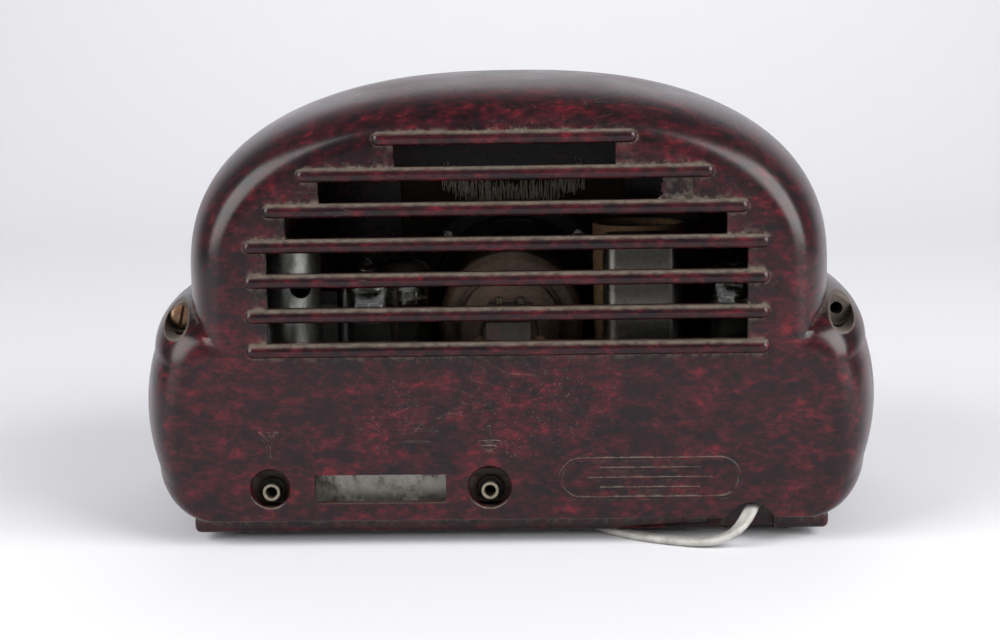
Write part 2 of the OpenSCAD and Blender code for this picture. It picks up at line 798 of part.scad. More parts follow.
module socket_tube_at(x) {
  color([0.62, 0.56, 0.45]) from_parting() difference() {
    union() {
      rod_y(x, socket_z, chassis_rear - socket_tail, half_d - 2.5, socket_tube / 2);
      rod_y(x, socket_z, board_y1, board_y1 + socket_collar_t, socket_collar_r);
      translate([x, chassis_rear - socket_nut_l, socket_z]) rotate([-90, 0, 0])
        cylinder(h = socket_nut_l, r = socket_nut_r, $fn = 6);
    }
    rod_y(x, socket_z, chassis_rear - socket_tail - 1, half_d, socket_bore / 2);
  }
}
module aerial_socket() { socket_tube_at(aerial_x); }
module earth_socket() { socket_tube_at(earth_x); }
module socket_boards() {
  color([0.2, 0.12, 0.07]) from_parting()
    for (x = [aerial_x, earth_x]) difference() {
      block([x - board_half, chassis_rear, flange_low], [x + board_half, board_y1, deck_z - board_short]);
      rod_y(x, socket_z, chassis_rear - 1, board_y1 + 1, socket_tube / 2 + fit);
    }
}

// Loudspeaker
module speaker_frame() {
  t = basket_t;
  r0 = basket_throat_r;
  r1 = basket_neck_r;
  color([0.2, 0.17, 0.15]) from_parting() difference() {
    turned_y(0, speaker_z, [
      [r0, rim_y], [speaker_r, rim_y], [speaker_r, rim_y + t], [r0 + t, rim_y + t], [r1 + t, basket_back],
      [plate_bore, basket_back], [plate_bore, basket_back - t], [r1, basket_back - t], [r0, rim_y + t]
    ]);
    for (p = speaker_posts) rod_y(p[0], p[1], rim_y - 1, rim_y + 3, post_hole_r);
    translate([0, 0, speaker_z]) for (a = [0 : 60 : 300]) rotate([0, a, 0])
      block([-basket_window / 2, rim_y + 5, r1 / 2], [basket_window / 2, basket_back - 4, speaker_r]);
  }
}
module speaker_screws() {
  color([0.55, 0.52, 0.48]) from_parting()
    for (p = speaker_posts) {
      rod_y(p[0], p[1], rim_y - 4, rim_y + 1.5, post_hole_r - 0.1);
      rod_y(p[0], p[1], rim_y + basket_t, rim_y + basket_t + speaker_head_h, speaker_head_r);
    }
}
module magnet_plate() {
  color([0.3, 0.2, 0.16]) from_parting()
    turned_y(0, speaker_z, [
      [plate_bore, basket_back], [pot_r, basket_back], [pot_r, pot_front], [plate_bore, pot_front]
    ]);
}
module magnet_pot() {
  color([0.33, 0.22, 0.17]) from_parting()
    turned_y(0, speaker_z, [
      [0, pot_front - 3], [pole_r, pot_front - 3], [pole_r, pot_floor], [pot_r - pot_wall, pot_floor],
      [pot_r - pot_wall, pot_front], [pot_r, pot_front], [pot_r, pot_back], [boss_plate_r, pot_back],
      [boss_plate_r, pot_back + boss_plate_t], [0, pot_back + boss_plate_t]
    ]);
}
module field_coil() {
  color([0.45, 0.28, 0.15]) from_parting()
    turned_y(0, speaker_z, [
      [pole_r + gap, pot_front + 3], [pot_r - pot_wall - gap, pot_front + 3],
      [pot_r - pot_wall - gap, pot_floor], [pole_r + gap, pot_floor]
    ]);
}
module speaker_tag_strip() {
  y = pot_back + boss_plate_t;
  color([0.3, 0.22, 0.15]) from_parting() {
    block([-strip_half, y, speaker_z - 2], [strip_half, y + strip_t, speaker_z + 9]);
    for (x = [-tag_x, tag_x])
      block([x - tag_half, y, speaker_z + 5], [x + tag_half, y + 2 * strip_t, speaker_z + 11]);
  }
}
module speaker_cloth() {
  color([0.5, 0.42, 0.32]) from_parting() difference() {
    block([-cloth_half, -inner_y, speaker_z - speaker_r + 1],
      [cloth_half, cloth_t - inner_y, speaker_z + speaker_r + cloth_over]);
    for (p = speaker_posts) rod_y(p[0], p[1], -half_d, cloth_t + 1 - inner_y, speaker_post_r + gap);
  }
}
module speaker_cone() {
  edge_r = basket_throat_r - 1.2;
  fold_r = edge_r - cone_fold;
  coil_r = plate_bore - 0.8;
  t = cone_t;
  edge_y = rim_y + 2;
  neck_y = rim_y + cone_neck;
  cap_r = cone_cap[0];
  cap_y = rim_y + cone_cap[1];
  color([0.24, 0.2, 0.17]) from_parting()
    turned_y(0, speaker_z, [
      [0, cap_y - 1], [cap_r, cap_y], [coil_r, neck_y], [fold_r, edge_y + 1], [edge_r, edge_y],
      [edge_r, edge_y + t], [fold_r, edge_y + 1.4 + t], [coil_r + t, neck_y + 1.5], [coil_r, pot_front + 1],
      [coil_r - t, pot_front + 1], [coil_r - t, neck_y + t], [cap_r, cap_y + t], [0, cap_y - 1 + t]
    ]);
}
// Two thin leads from the tag strip down to the transformer's winding
module speaker_leads() {
  y0 = pot_back + boss_plate_t + 2 * strip_t + fit;
  y1 = transformer_at[1] - winding_half[1] - fit;
  color([0.15, 0.13, 0.12]) from_parting()
    for (side = [-1, 1])
      sweep([for (p = lead_route)
        [side * (tag_x + p[0] * (lead_out - tag_x)), y0 + p[1] * (y1 - y0), speaker_z + p[2]]
      ], [for (a = [0 : 60 : 300]) [lead_r * cos(a), lead_r * sin(a)]]);
}
module transformer_core() {
  x = transformer_at[0];
  y = transformer_at[1];
  color([0.28, 0.25, 0.24]) from_parting() difference() {
    block([x - core_half[0], y - core_half[1], deck_top],
      [x + core_half[0], y + core_half[1], deck_top + core_h]);
    for (side = [-1, 1])
      block([x - core_half[0] - 1, y + side * core_window_y - core_window / 2, deck_top + winding_low],
        [x + core_half[0] + 1, y + side * core_window_y + core_window / 2, deck_top + core_h - winding_low]);
  }
}
module transformer_winding() {
  x = transformer_at[0];
  y = transformer_at[1];
  color([0.42, 0.32, 0.18]) from_parting() difference() {
    block([x - winding_half[0], y - winding_half[1], deck_top + winding_low + core_slack],
      [x + winding_half[0], y + winding_half[1], deck_top + core_h - winding_low - core_slack]);
    block([x - core_half[0] - core_slack, y - limb_half - core_slack, 0],
      [x + core_half[0] + core_slack, y + limb_half + core_slack, case_h]);
  }
}

// Valves
module valve_sockets() {
  color([0.16, 0.1, 0.07]) from_parting()
    for (p = valve_places) {
      rod_z(p[0], p[1], deck_z - socket_sunk, deck_top + 0.5, valve_hole_r - gap / 2);
      rod_z(p[0], p[1], deck_top, valve_base, valve_hole_r + 1.8);
    }
}
module valve_glass(at) {
  r = valve_r;
  t = glass_t;
  c = dome_top_r;
  top = valve_base + valve_h - socket_h;
  y = top - glass_shoulder;
  color([0.75, 0.8, 0.82, 0.4]) from_parting() translate([at[0], at[1], 0]) rotate_extrude()
    polygon(concat(
      [[r - t, valve_base], [r, valve_base]],
      [for (a = [0 : 15 : 75]) [c + (r - c) * cos(a), y + dome_rise * sin(a)]],
      [[c - 1, top - c], [c * 0.3, top], [0, top], [0, y + dome_rise - 0.2]],
      [for (a = [75 : -15 : 0]) [c + (r - t - c) * cos(a), y - t + dome_rise * sin(a)]]));
}
module electrodes(at) {
  top = valve_base + valve_h - 20;
  rod_z(at[0], at[1], valve_base, valve_base + 3, valve_r - 1.6);
  rod_z(at[0], at[1], valve_base + 6, valve_base + 6.6, valve_r - 2.4);
  rod_z(at[0], at[1], top, top + 0.6, valve_r - 2.4);
  rod_z(at[0], at[1], valve_base + 8, top - 2, valve_r - 5.5);
  for (a = [0 : 90 : 270])
    rod_z(at[0] + stage_r * cos(a), at[1] + stage_r * sin(a), valve_base + 1, top + 2, 0.6);
  rod_z(at[0], at[1], valve_base + 1, top + 3, 0.8);
  rod_z(at[0], at[1], top + 2.6, top + 3.2, 4);
}
module mixer_valve() { valve_glass(mixer_at); }
module if_valve() { valve_glass(if_at); }
module output_valve() { valve_glass(output_at); }
module rectifier_valve() { valve_glass(rectifier_at); }
module valve_electrodes() {
  color([0.35, 0.35, 0.36]) from_parting() for (p = valve_places) electrodes(p);
}

// Cans
module square_can() {
  x = square_can_at[0];
  y = square_can_at[1];
  w = square_can_w / 2;
  r = can_corner;
  color([0.72, 0.72, 0.7]) from_parting() difference() {
    round_slab(x - w, x + w, y - w, y + w, deck_top, deck_top + square_can_h, r);
    round_slab(x - w + can_t, x + w - can_t, y - w + can_t, y + w - can_t,
      deck_top - 1, deck_top + square_can_h - can_t, r - can_t);
    rod_z(x, y, deck_top, deck_top + square_can_h + 1, can_top_hole);
  }
}
module coils(at, h) {
  rod_z(at[0], at[1], deck_top, deck_top + h, coil_former_r);
  for (share = [0.2, 0.55])
    rod_z(at[0], at[1], deck_top + share * h, deck_top + (share + 0.15) * h, coil_r);
}
module round_can() {
  x = round_can_at[0];
  y = round_can_at[1];
  color([0.7, 0.7, 0.69]) from_parting() difference() {
    union() {
      rod_z(x, y, deck_top, deck_top + round_can_h, round_can_r);
      rod_z(x, y, deck_top, deck_top + sheet, round_can_r + can_flange);
    }
    rod_z(x, y, deck_top - 1, deck_top + round_can_h - can_t, round_can_r - can_t);
    translate([x, y, deck_top + round_can_h - 15]) rotate([0, 0, 32])
      rod_y(0, 0, 0, round_can_r + 3, can_side_hole);
  }
}
module can_coils() {
  color([0.6, 0.45, 0.2]) from_parting() {
    coils(square_can_at, square_can_h * 0.85);
    coils(round_can_at, round_can_h * 0.68);
  }
}
module cardboard_capacitor() {
  x = cardboard_at[0];
  y = cardboard_at[1];
  color([0.4, 0.27, 0.16]) from_parting() difference() {
    rod_z(x, y, deck_top, deck_top + cardboard_h, cardboard_r);
    rod_z(x, y, deck_top + cardboard_h - card_recess, deck_top + cardboard_h + 1, cardboard_r - card_rim);
  }
}

// Small parts strung between two strips under the deck
module tag_strips() {
  color([0.3, 0.18, 0.1]) from_parting()
    for (y = strip_ys)
      block([-strip_reach, y - strip_t / 2, strip_low], [strip_reach, y + strip_t / 2, deck_z]);
}
module strung_part(x, length, r) {
  y0 = strip_ys[0] + strip_t / 2;
  y1 = strip_ys[1] - strip_t / 2;
  rod_y(x, part_z, y0, y1, wire_r);
  rod_y(x, part_z, (y0 + y1 - length) / 2, (y0 + y1 + length) / 2, r);
}
module paper_capacitors() {
  color([0.65, 0.5, 0.28]) from_parting() for (x = paper_at) strung_part(x, paper_l, paper_r);
}
module resistors() {
  color([0.3, 0.2, 0.12]) from_parting()
    for (i = [0 : 5]) strung_part(resistor_at + i * resistor_pitch, resistor_l, resistor_r);
}
module ballast_resistor() {
  color([0.55, 0.52, 0.46]) from_parting() strung_part(ballast_at, ballast_l, ballast_r);
}

// Tuning capacitor
module gang_frame() {
  x = drum_x;
  color([0.66, 0.66, 0.62]) from_parting() difference() {
    union() {
      block([x - gang_half, gang_y0, deck_top], [x + gang_half, gang_y1, deck_top + plate_sheet]);
      for (y = [gang_y0, gang_y1 - plate_sheet])
        block([x - gang_half, y, deck_top], [x + gang_half, y + plate_sheet, drum_z + gang_rise]);
    }
    rod_y(x, drum_z, gang_y0 - 1, gang_y1 + 1, spindle_r + fit);
  }
}
module gang_stator() {
  color([0.78, 0.78, 0.76]) from_parting() {
    for (i = [0 : rotor_vanes]) {
      y = vane_y0 + i * vane_pitch;
      difference() {
        rod_y(drum_x, drum_z, y - vane_t / 2, y + vane_t / 2, stator_r);
        rod_y(drum_x, drum_z, y - 1, y + 1, spindle_r + 1.5);
        block([drum_x - case_h, y - 1, 0], [drum_x + case_h, y + 1, drum_z + vane_t]);
      }
    }
    for (side = [-1, 1])
      rod_y(drum_x + side * stay_x, drum_z + stay_z, gang_y0 + plate_sheet, gang_y1 - plate_sheet, stay_r);
  }
}
module gang_rotor() {
  color([0.72, 0.7, 0.6]) from_parting() {
    rod_y(drum_x, drum_z, drive_y - 3, gang_y1 + 2, spindle_r);
    for (i = [0 : rotor_vanes - 1]) {
      y = vane_y0 + (i + 0.5) * vane_pitch;
      difference() {
        rod_y(drum_x, drum_z, y - vane_t / 2, y + vane_t / 2, vane_r);
        block([drum_x - case_h, y - 1, 0], [drum_x - spindle_r / 2, y + 1, case_h]);
      }
    }
  }
}
module drive_drum() {
  rim = drum_r + drum_rim;
  bore = spindle_r + fit;
  color([0.7, 0.66, 0.55]) from_parting() difference() {
    turned_y(drum_x, drum_z, [
      [bore, drive_y - 2.5], [rim, drive_y - 2.5], [rim, drive_y - 1.2], [drum_r - 0.2, drive_y - 1.2],
      [drum_r - 0.2, drive_y + 1.2], [rim, drive_y + 1.2], [rim, drive_y + 2], [drum_hub, drive_y + 2],
      [drum_hub, drive_y + drum_hub], [bore, drive_y + drum_hub]
    ]);
    translate([drum_x, 0, drum_z]) for (a = [45 : 90 : 315]) rotate([0, a, 0])
      rod_y(drum_hole_at, 0, drive_y - 5, drive_y + 5, drum_hole_r);
  }
}
// Quarter or half loop of the drive cord around a centre
module cord_bend(x, z, r, a0, a1) {
  translate([x, drive_y, z]) rotate([90, 0, 0]) rotate([0, 0, a0])
    rotate_extrude(angle = a1 - a0) translate([r, 0]) circle(drive_cord_r, $fn = 16);
}
module drive_cord() {
  low = control_z - spindle_wrap;
  high = control_z + spindle_wrap;
  color([0.75, 0.7, 0.6]) from_parting() {
    rod_x(drive_y, low, left_guide_x, control_x, drive_cord_r);
    cord_bend(control_x, control_z, spindle_wrap, -90, 0);
    rod_z(control_x + spindle_wrap, drive_y, control_z, drum_z, drive_cord_r);
    cord_bend(drum_x, drum_z, drum_wrap, 0, 180);
    rod_z(drum_x - drum_wrap, drive_y, corner_z, drum_z, drive_cord_r);
    cord_bend(corner_x, corner_z, spindle_wrap, -90, 0);
    rod_x(drive_y, high, left_guide_x, corner_x, drive_cord_r);
    cord_bend(left_guide_x, control_z, spindle_wrap, 90, 270);
  }
}
module cord_guides() {
  color([0.75, 0.72, 0.6]) from_parting()
    for (p = [[left_guide_x, control_z], [corner_x, corner_z]])
      rod_y(p[0], p[1], drive_y - 2, chassis_front, guide_r);
}
module spindle_bush() {
  color([0.75, 0.6, 0.3]) from_parting() difference() {
    union() {
      rod_y(control_x, control_z, chassis_front, chassis_front + bush_l, bush_r - fit);
      rod_y(control_x, control_z, chassis_front + sheet, chassis_front + 3, bush_r + 2);
    }
    rod_y(control_x, control_z, chassis_front - 1, chassis_front + bush_l + 1, spindle_r + fit);
  }
}
module tuning_spindle() {
  color([0.75, 0.7, 0.55]) from_parting()
    rod_y(control_x, control_z, spindle_tip - front_reach, chassis_front + bush_l + 2, spindle_r);
}
module knob(x) {
  y0 = -knob_back;
  y1 = -front_reach;
  grip_r = knob_r - knob_skirt;
  color([0.2, 0.05, 0.06]) from_parting() difference() {
    turned_y(x, control_z, [
      [0, y1 + 0.6], [grip_r - 2.8, y1], [grip_r - 1.3, y1 + 0.7], [grip_r - 0.4, y1 + 3],
      [grip_r, y0 - skirt_h - 0.5], [knob_r, y0 - skirt_h], [knob_r, y0], [0, y0]
    ]);
    rod_y(x, control_z, spindle_tip - front_reach, y0 + 1, spindle_r + fit);
    for (i = [1 : flutes]) {
      a = 360 * i / flutes;
      rod_y(x + knob_r * cos(a), control_z + knob_r * sin(a), y1 - 1, y0 - skirt_h - 0.6, flute_r);
    }
  }
}
module tuning_knob() { knob(control_x); }
module volume_knob() { knob(-control_x); }
module volume_control() {
  color([0.5, 0.5, 0.48]) from_parting() difference() {
    union() {
      rod_y(-control_x, control_z, chassis_front + sheet, chassis_front + control_l, control_r);
      rod_y(-control_x, control_z, chassis_front - 6, chassis_front + sheet, bush_r - fit);
    }
    rod_y(-control_x, control_z, chassis_front - 7, chassis_front + bush_l, spindle_r + fit);
  }
}
module volume_spindle() {
  color([0.75, 0.75, 0.73]) from_parting()
    rod_y(-control_x, control_z, spindle_tip - front_reach, chassis_front + bush_l - 1, spindle_r);
}

// Dial
module dial_scale() {
  color([0.85, 0.8, 0.65]) from_parting() {
    block([-dial_reach, scale_y - scale_t, dial_low], [dial_reach, scale_y, dial_high]);
    for (side = [-1, 1])
      rod_y(side * (dial_reach - 6), dial_low + 1.2, scale_y - scale_t / 2, chassis_front, 1);
  }
}
module dial_window() {
  color([0.9, 0.88, 0.75, 0.35]) from_parting()
    block([-dial_reach, -inner_y, dial_low + gap], [dial_reach, 1 - inner_y, dial_high + 1.5]);
}
module pointer_rail() {
  color([0.7, 0.7, 0.68]) from_parting() {
    rod_x(drive_y, control_z, -rail_reach, rail_reach, rail_r);
    for (turned = [0, 1]) mirror([turned, 0, 0])
      block([rail_reach - 0.5, drive_y - 1.5, control_z - 2], [rail_reach + 0.5, chassis_front, control_z + 2]);
  }
}
module dial_pointer() {
  riser = 1.9;
  blade_y = -(half_d - 6.8);
  top = dial_high + 1;
  color([0.75, 0.15, 0.1]) from_parting() {
    difference() {
      block([-3, drive_y - riser, control_z - 1.8], [3, drive_y + 1.5, control_z + 1.8]);
      rod_x(drive_y, control_z, -4, 4, rail_r + 0.08);
    }
    block([-1, drive_y - riser, control_z + 1], [1, drive_y - riser + 1, top]);
    block([-1, blade_y, top - 0.8], [1, drive_y - riser + 1, top]);
    block([-0.5, blade_y, dial_low + 1], [0.5, blade_y + 0.5, top]);
  }
}
module lamp_holder() {
  color([0.6, 0.55, 0.4]) from_parting() {
    rod_x(lamp_y, lamp_z, lamp_x - 16, lamp_x - 8, lamp_r + 0.5);
    block([lamp_x - 13, lamp_y + 2, lamp_z - lamp_r], [lamp_x - 10, chassis_front, lamp_z + lamp_r]);
  }
}
module dial_lamp() {
  color([0.9, 0.85, 0.7, 0.5]) from_parting() {
    rod_x(lamp_y, lamp_z, lamp_x - 8, lamp_x - lamp_r, lamp_r - 0.3);
    translate([lamp_x - lamp_r, lamp_y, lamp_z]) sphere(lamp_r);
  }
}

// Mains cord
module cord_clamp() {
  x = clamp_at[0];
  y = clamp_at[1];
  color([0.25, 0.2, 0.16]) from_parting() {
    block([x - clamp_half, y - clamp_d, clamp_low], [x + clamp_half, y, clamp_low + clamp_h]);
    for (side = [-1, 1])
      rod_z(x + side * clamp_screw_x, y - clamp_d / 2, clamp_low + clamp_h, clamp_top, clamp_screw_r);
  }
}
module cord_run() {
  color([0.78, 0.77, 0.72]) from_parting() sweep(cord_route, flat_section(cord_w, cord_t));
}
module cord_coil() {
  color([0.78, 0.77, 0.72]) from_parting() sweep(coil_path, flat_section_6(cord_w, cord_t));
}
// Band round the turns on the side towards the case
module cord_tie() {
  x = coil_at[0];
  y = coil_at[1];
  color([0.3, 0.28, 0.25]) from_parting() difference() {
    block([x - tie_w / 2, y + tie_in - tie_t, tie_low], [x + tie_w / 2, y + tie_out + tie_t, tie_top]);
    block([x - tie_w, y + tie_in, tie_low + tie_t], [x + tie_w, y + tie_out, tie_top - tie_t]);
  }
}
// The plug lies flat; local X runs from the cord's entry to the pins
module at_plug() {
  from_parting() translate([plug_face, coil_end[1] + tail_side(tail_l), plug_z]) children();
}
module mains_plug() {
  seam = 0.4;         // groove round the joint of the two halves
  color([0.2, 0.12, 0.09]) at_plug() difference() {
    intersection() {
      translate([0, 0, -plug_z]) linear_extrude(2 * plug_z) polygon(plug_plan);
      rotate([90, 0, 0]) linear_extrude(plug_w + 2, center = true) polygon(plug_side);
    }
    difference() {
      block([-1, -plug_w, -seam / 2], [plug_l + 1, plug_w, seam / 2]);
      linear_extrude(1, center = true)
        polygon([for (p = plug_plan) [plug_l / 2 + plug_core * (p[0] - plug_l / 2), plug_core * p[1]]]);
    }
    block([-1, -cord_w / 2 - gap, -cord_t / 2 - gap], [tail_in, cord_w / 2 + gap, cord_t / 2 + gap]);
    for (side = [-1, 1]) rod_x(side * pin_spacing / 2, 0, pin_root, plug_l + 1, pin_shank_r + fit);
    rod_z(plug_screw_x, 0, -plug_screw_l, plug_z + 1, plug_screw_r + fit);
    rod_z(plug_screw_x, 0, plug_z - plug_sink, plug_z + 1, plug_head_r + 0.5);
  }
}
module plug_pins() {
  color([0.78, 0.66, 0.38]) at_plug()
    for (side = [-1, 1]) {
      rod_x(side * pin_spacing / 2, 0, pin_root + gap, plug_l + 1, pin_shank_r);
      rod_x(side * pin_spacing / 2, 0, plug_l, plug_l + pin_l - pin_r, pin_r);
      translate([plug_l + pin_l - pin_r, side * pin_spacing / 2, 0]) sphere(pin_r);
    }
}
module plug_screw() {
  color([0.6, 0.55, 0.42]) at_plug() difference() {
    union() {
      rod_z(plug_screw_x, 0, -plug_screw_l, plug_z - 2, plug_screw_r);
      rod_z(plug_screw_x, 0, plug_z - plug_sink, plug_z - 0.8, plug_head_r);
    }
    block([plug_screw_x - 4, -slot_w * 0.4, plug_z - 1.6], [plug_screw_x + 4, slot_w * 0.4, plug_z]);
  }
}

rear_cover();
front_cover();
case_screw();
rubber_feet();
chassis();
chassis_screws();
aerial_socket();
earth_socket();
socket_boards();
speaker_frame();
speaker_screws();
magnet_plate();
magnet_pot();
field_coil();
speaker_tag_strip();
speaker_cloth();
speaker_cone();
speaker_leads();
transformer_core();
transformer_winding();
valve_sockets();
mixer_valve();
if_valve();
output_valve();
rectifier_valve();
valve_electrodes();
square_can();
round_can();
can_coils();
cardboard_capacitor();
tag_strips();
paper_capacitors();
resistors();
ballast_resistor();
gang_frame();
gang_stator();
gang_rotor();
drive_drum();
drive_cord();
cord_guides();
spindle_bush();
tuning_spindle();
tuning_knob();
volume_control();
volume_spindle();
volume_knob();
dial_scale();
dial_window();
pointer_rail();
dial_pointer();
lamp_holder();
dial_lamp();
cord_clamp();
cord_run();
cord_coil();
cord_tie();
mains_plug();
plug_pins();
plug_screw();
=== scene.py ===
import math
import random

import bmesh
import bpy
from mathutils import Matrix, Vector, noise


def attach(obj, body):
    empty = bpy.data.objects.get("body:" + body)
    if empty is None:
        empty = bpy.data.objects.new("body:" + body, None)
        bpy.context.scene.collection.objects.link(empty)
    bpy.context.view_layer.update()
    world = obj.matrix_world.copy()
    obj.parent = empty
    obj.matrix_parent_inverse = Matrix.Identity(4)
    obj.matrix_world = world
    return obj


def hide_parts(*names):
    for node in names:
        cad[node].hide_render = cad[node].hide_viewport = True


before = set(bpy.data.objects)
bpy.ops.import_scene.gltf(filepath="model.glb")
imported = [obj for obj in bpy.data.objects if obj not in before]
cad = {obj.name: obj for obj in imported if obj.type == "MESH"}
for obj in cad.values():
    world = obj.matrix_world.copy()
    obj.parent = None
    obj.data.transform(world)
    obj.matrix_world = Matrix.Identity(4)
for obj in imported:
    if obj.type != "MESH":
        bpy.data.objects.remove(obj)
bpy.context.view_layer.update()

# Studio
# The radio stands on a pale paper sweep that curves up into the backdrop.
# A large soft lamp stands on each side of the camera, and one hangs over the paper behind.


class Number:
    """A socket of a finish; arithmetic on it adds Math nodes."""

    def __init__(self, finish, socket):
        self.finish, self.socket = finish, socket

    def math(self, operation, *others):
        inputs = dict(enumerate((self, *others)))
        return self.finish.node("ShaderNodeMath", {"operation": operation}, inputs)

    def __add__(self, other):
        return self.math("ADD", other)

    def __sub__(self, other):
        return self.math("SUBTRACT", other)

    def __mul__(self, other):
        return self.math("MULTIPLY", other)

    def __pow__(self, other):
        return self.math("POWER", other)

    def __rsub__(self, other):
        return (self * -1) + other

    __radd__ = __add__
    __rmul__ = __mul__


class Finish:
    """One procedural material under construction."""

    def __init__(self, name):
        self.material = bpy.data.materials.new(name)
        self.material.use_nodes = True
        self.tree = self.material.node_tree
        self.tree.nodes.clear()
        self.place = self.node("ShaderNodeTexCoord", output="Object")

    def node(self, kind, settings=None, inputs=None, output=0):
        made = self.tree.nodes.new(kind)
        for key, value in (settings or {}).items():
            if key == "stops":
                ramp = made.color_ramp.elements
                while len(ramp) < len(value):
                    ramp.new(0.5)
                for stop, (where, colour) in zip(ramp, value):
                    stop.position, stop.color = where, (*colour, 1)
            else:
                setattr(made, key, value)
        for key, value in (inputs or {}).items():
            if isinstance(value, Number):
                self.tree.links.new(value.socket, made.inputs[key])
            elif isinstance(value, tuple) and made.inputs[key].type == "RGBA":
                made.inputs[key].default_value = (*value, 1)
            else:
                made.inputs[key].default_value = value
        return Number(self, made.outputs[output])

    def noise(self, scale, detail=2.0, roughness=0.5, stretch=None, warp=0.0):
        where = self.place
        if stretch:
            where = self.node("ShaderNodeMapping", inputs={0: where, 3: stretch})
        return self.node(
            "ShaderNodeTexNoise", None,
            {"Vector": where, "Scale": scale, "Detail": detail, "Roughness": roughness, "Distortion": warp})

    def bands(self, direction, scale, wander, fineness=1.0):
        """Waves side by side, as threads, wires and plates lie."""
        inputs = {"Vector": self.place, "Scale": scale, "Distortion": wander, "Detail": 1,
                  "Detail Scale": fineness}
        return self.node(
            "ShaderNodeTexWave", {"wave_type": "BANDS", "bands_direction": direction}, inputs, output=1)

    def ramp(self, value, *stops):
        return self.node("ShaderNodeValToRGB", {"stops": stops}, {0: value})

    def step(self, value, low, high):
        """0 where value is under low and 1 where it is over high."""
        return self.node(
            "ShaderNodeMapRange", {"interpolation_type": "SMOOTHSTEP"}, {0: value, 1: low, 2: high})

    def mix(self, share, first, second, blend="MIX"):
        return self.node(
            "ShaderNodeMix", {"data_type": "RGBA", "blend_type": blend},
            {0: share, 6: first, 7: second}, output=2)

    def bump(self, height, reach, strength=1.0, under=None):
        inputs = {"Height": height, "Distance": reach, "Strength": strength}
        if under:
            inputs["Normal"] = under
        return self.node("ShaderNodeBump", None, inputs)

    def along(self, axis):
        """How far a spot lies along an axis of the object."""
        return self.node("ShaderNodeSeparateXYZ", None, {0: self.place}, output="XYZ".index(axis))

    def facing_up(self):
        facing = self.node("ShaderNodeTexCoord", output="Normal")
        return self.node("ShaderNodeSeparateXYZ", None, {0: facing}, output=2)

    def crevice(self, reach, samples=8, own=True):
        """1 deep in a corner, 0 in the open."""
        open_share = self.node(
            "ShaderNodeAmbientOcclusion", {"samples": samples, "only_local": own},
            {"Distance": reach}, output="AO")
        return 1 - open_share

    def surface(self, **inputs):
        sockets = {key.replace("_", " "): value for key, value in inputs.items()}
        shader = self.node("ShaderNodeBsdfPrincipled", None, sockets)
        out = self.tree.nodes.new("ShaderNodeOutputMaterial")
        self.tree.links.new(shader.socket, out.inputs["Surface"])
        return self.material


def dress(piece, material):
    """Gives a piece its finish."""
    piece.data.materials.clear()
    piece.data.materials.append(material)
    return piece


def placed(name, data):
    """An object at the origin that shows a mesh, a lamp or a lens."""
    made = bpy.data.objects.new(name, data)
    bpy.context.scene.collection.objects.link(made)
    return made


def shade(mesh, smooth_under):
    """Smooth shading, where edges sharper than the angle stay sharp."""
    mesh.shade_smooth()
    mesh.set_sharp_from_angle(angle=math.radians(smooth_under))


def piece_from(bm, name, material=None, smooth_under=40.0):
    """Turns a finished bmesh into an object."""
    mesh = bpy.data.meshes.new(name)
    bm.to_mesh(mesh)
    bm.free()
    shade(mesh, smooth_under)
    made = placed(name, mesh)
    if material:
        dress(made, material)
    return made


def verts_in(geom):
    """The vertices among what an operator gives back."""
    return [item for item in geom if isinstance(item, bmesh.types.BMVert)]


PAPER, PAPER_HALF_W, PAPER_NEAR = (0.655, 0.655, 0.68), 4, 4
WALL_FOOT, WALL_BEND, WALL_TOP, BEND_STEPS = -0.9, 1.1, 2.6, 16

bm = bmesh.new()
sweep = [bm.verts.new((-PAPER_HALF_W, y, 0)) for y in (PAPER_NEAR, 1, WALL_FOOT)]
for i in range(1, BEND_STEPS + 1):
    turn = math.radians(90 * i / BEND_STEPS)
    sweep.append(bm.verts.new(
        (-PAPER_HALF_W, WALL_FOOT - WALL_BEND * math.sin(turn), WALL_BEND * (1 - math.cos(turn)))))
sweep.append(bm.verts.new((-PAPER_HALF_W, WALL_FOOT - WALL_BEND, WALL_TOP)))
edges = [bm.edges.new(pair) for pair in zip(sweep, sweep[1:])]
wide = bmesh.ops.extrude_edge_only(bm, edges=edges)["geom"]
bmesh.ops.translate(bm, verts=verts_in(wide), vec=(2 * PAPER_HALF_W, 0, 0))
bmesh.ops.recalc_face_normals(bm, faces=bm.faces)
backdrop = piece_from(bm, "paper_sweep", Finish("paper_sweep").surface(Base_Color=PAPER, Roughness=0.9))

world = bpy.data.worlds.new("studio")
bpy.context.scene.world = world
world.use_nodes = True
world.node_tree.nodes["Background"].inputs["Color"].default_value = (0.86, 0.86, 0.88, 1)
world.node_tree.nodes["Background"].inputs["Strength"].default_value = 0.26


def soft_lamp(name, place, aim, size, power):
    """A large rectangular lamp turned towards a spot."""
    lamp = bpy.data.lights.new(name, "AREA")
    lamp.shape, lamp.size, lamp.size_y, lamp.energy = "RECTANGLE", size[0], size[1], power
    holder = placed(name, lamp)
    away = Vector(place) - Vector(aim)
    holder.matrix_world = Matrix.Translation(place) @ away.to_track_quat("Z", "Y").to_matrix().to_4x4()
    return holder


SIDE_LAMP = (1.15, 1.2)
soft_lamp("lamp_photo_left", (1.08, 0.74, 0.72), (0.05, 0.05, 0.1), SIDE_LAMP, 26)
soft_lamp("lamp_photo_right", (-1.08, 0.74, 0.72), (-0.05, 0.05, 0.1), SIDE_LAMP, 35)
soft_lamp("lamp_over_paper", (0.0, -1.5, 1.5), (0, -1.4, 0), (1.8, 0.6), 14).visible_glossy = False

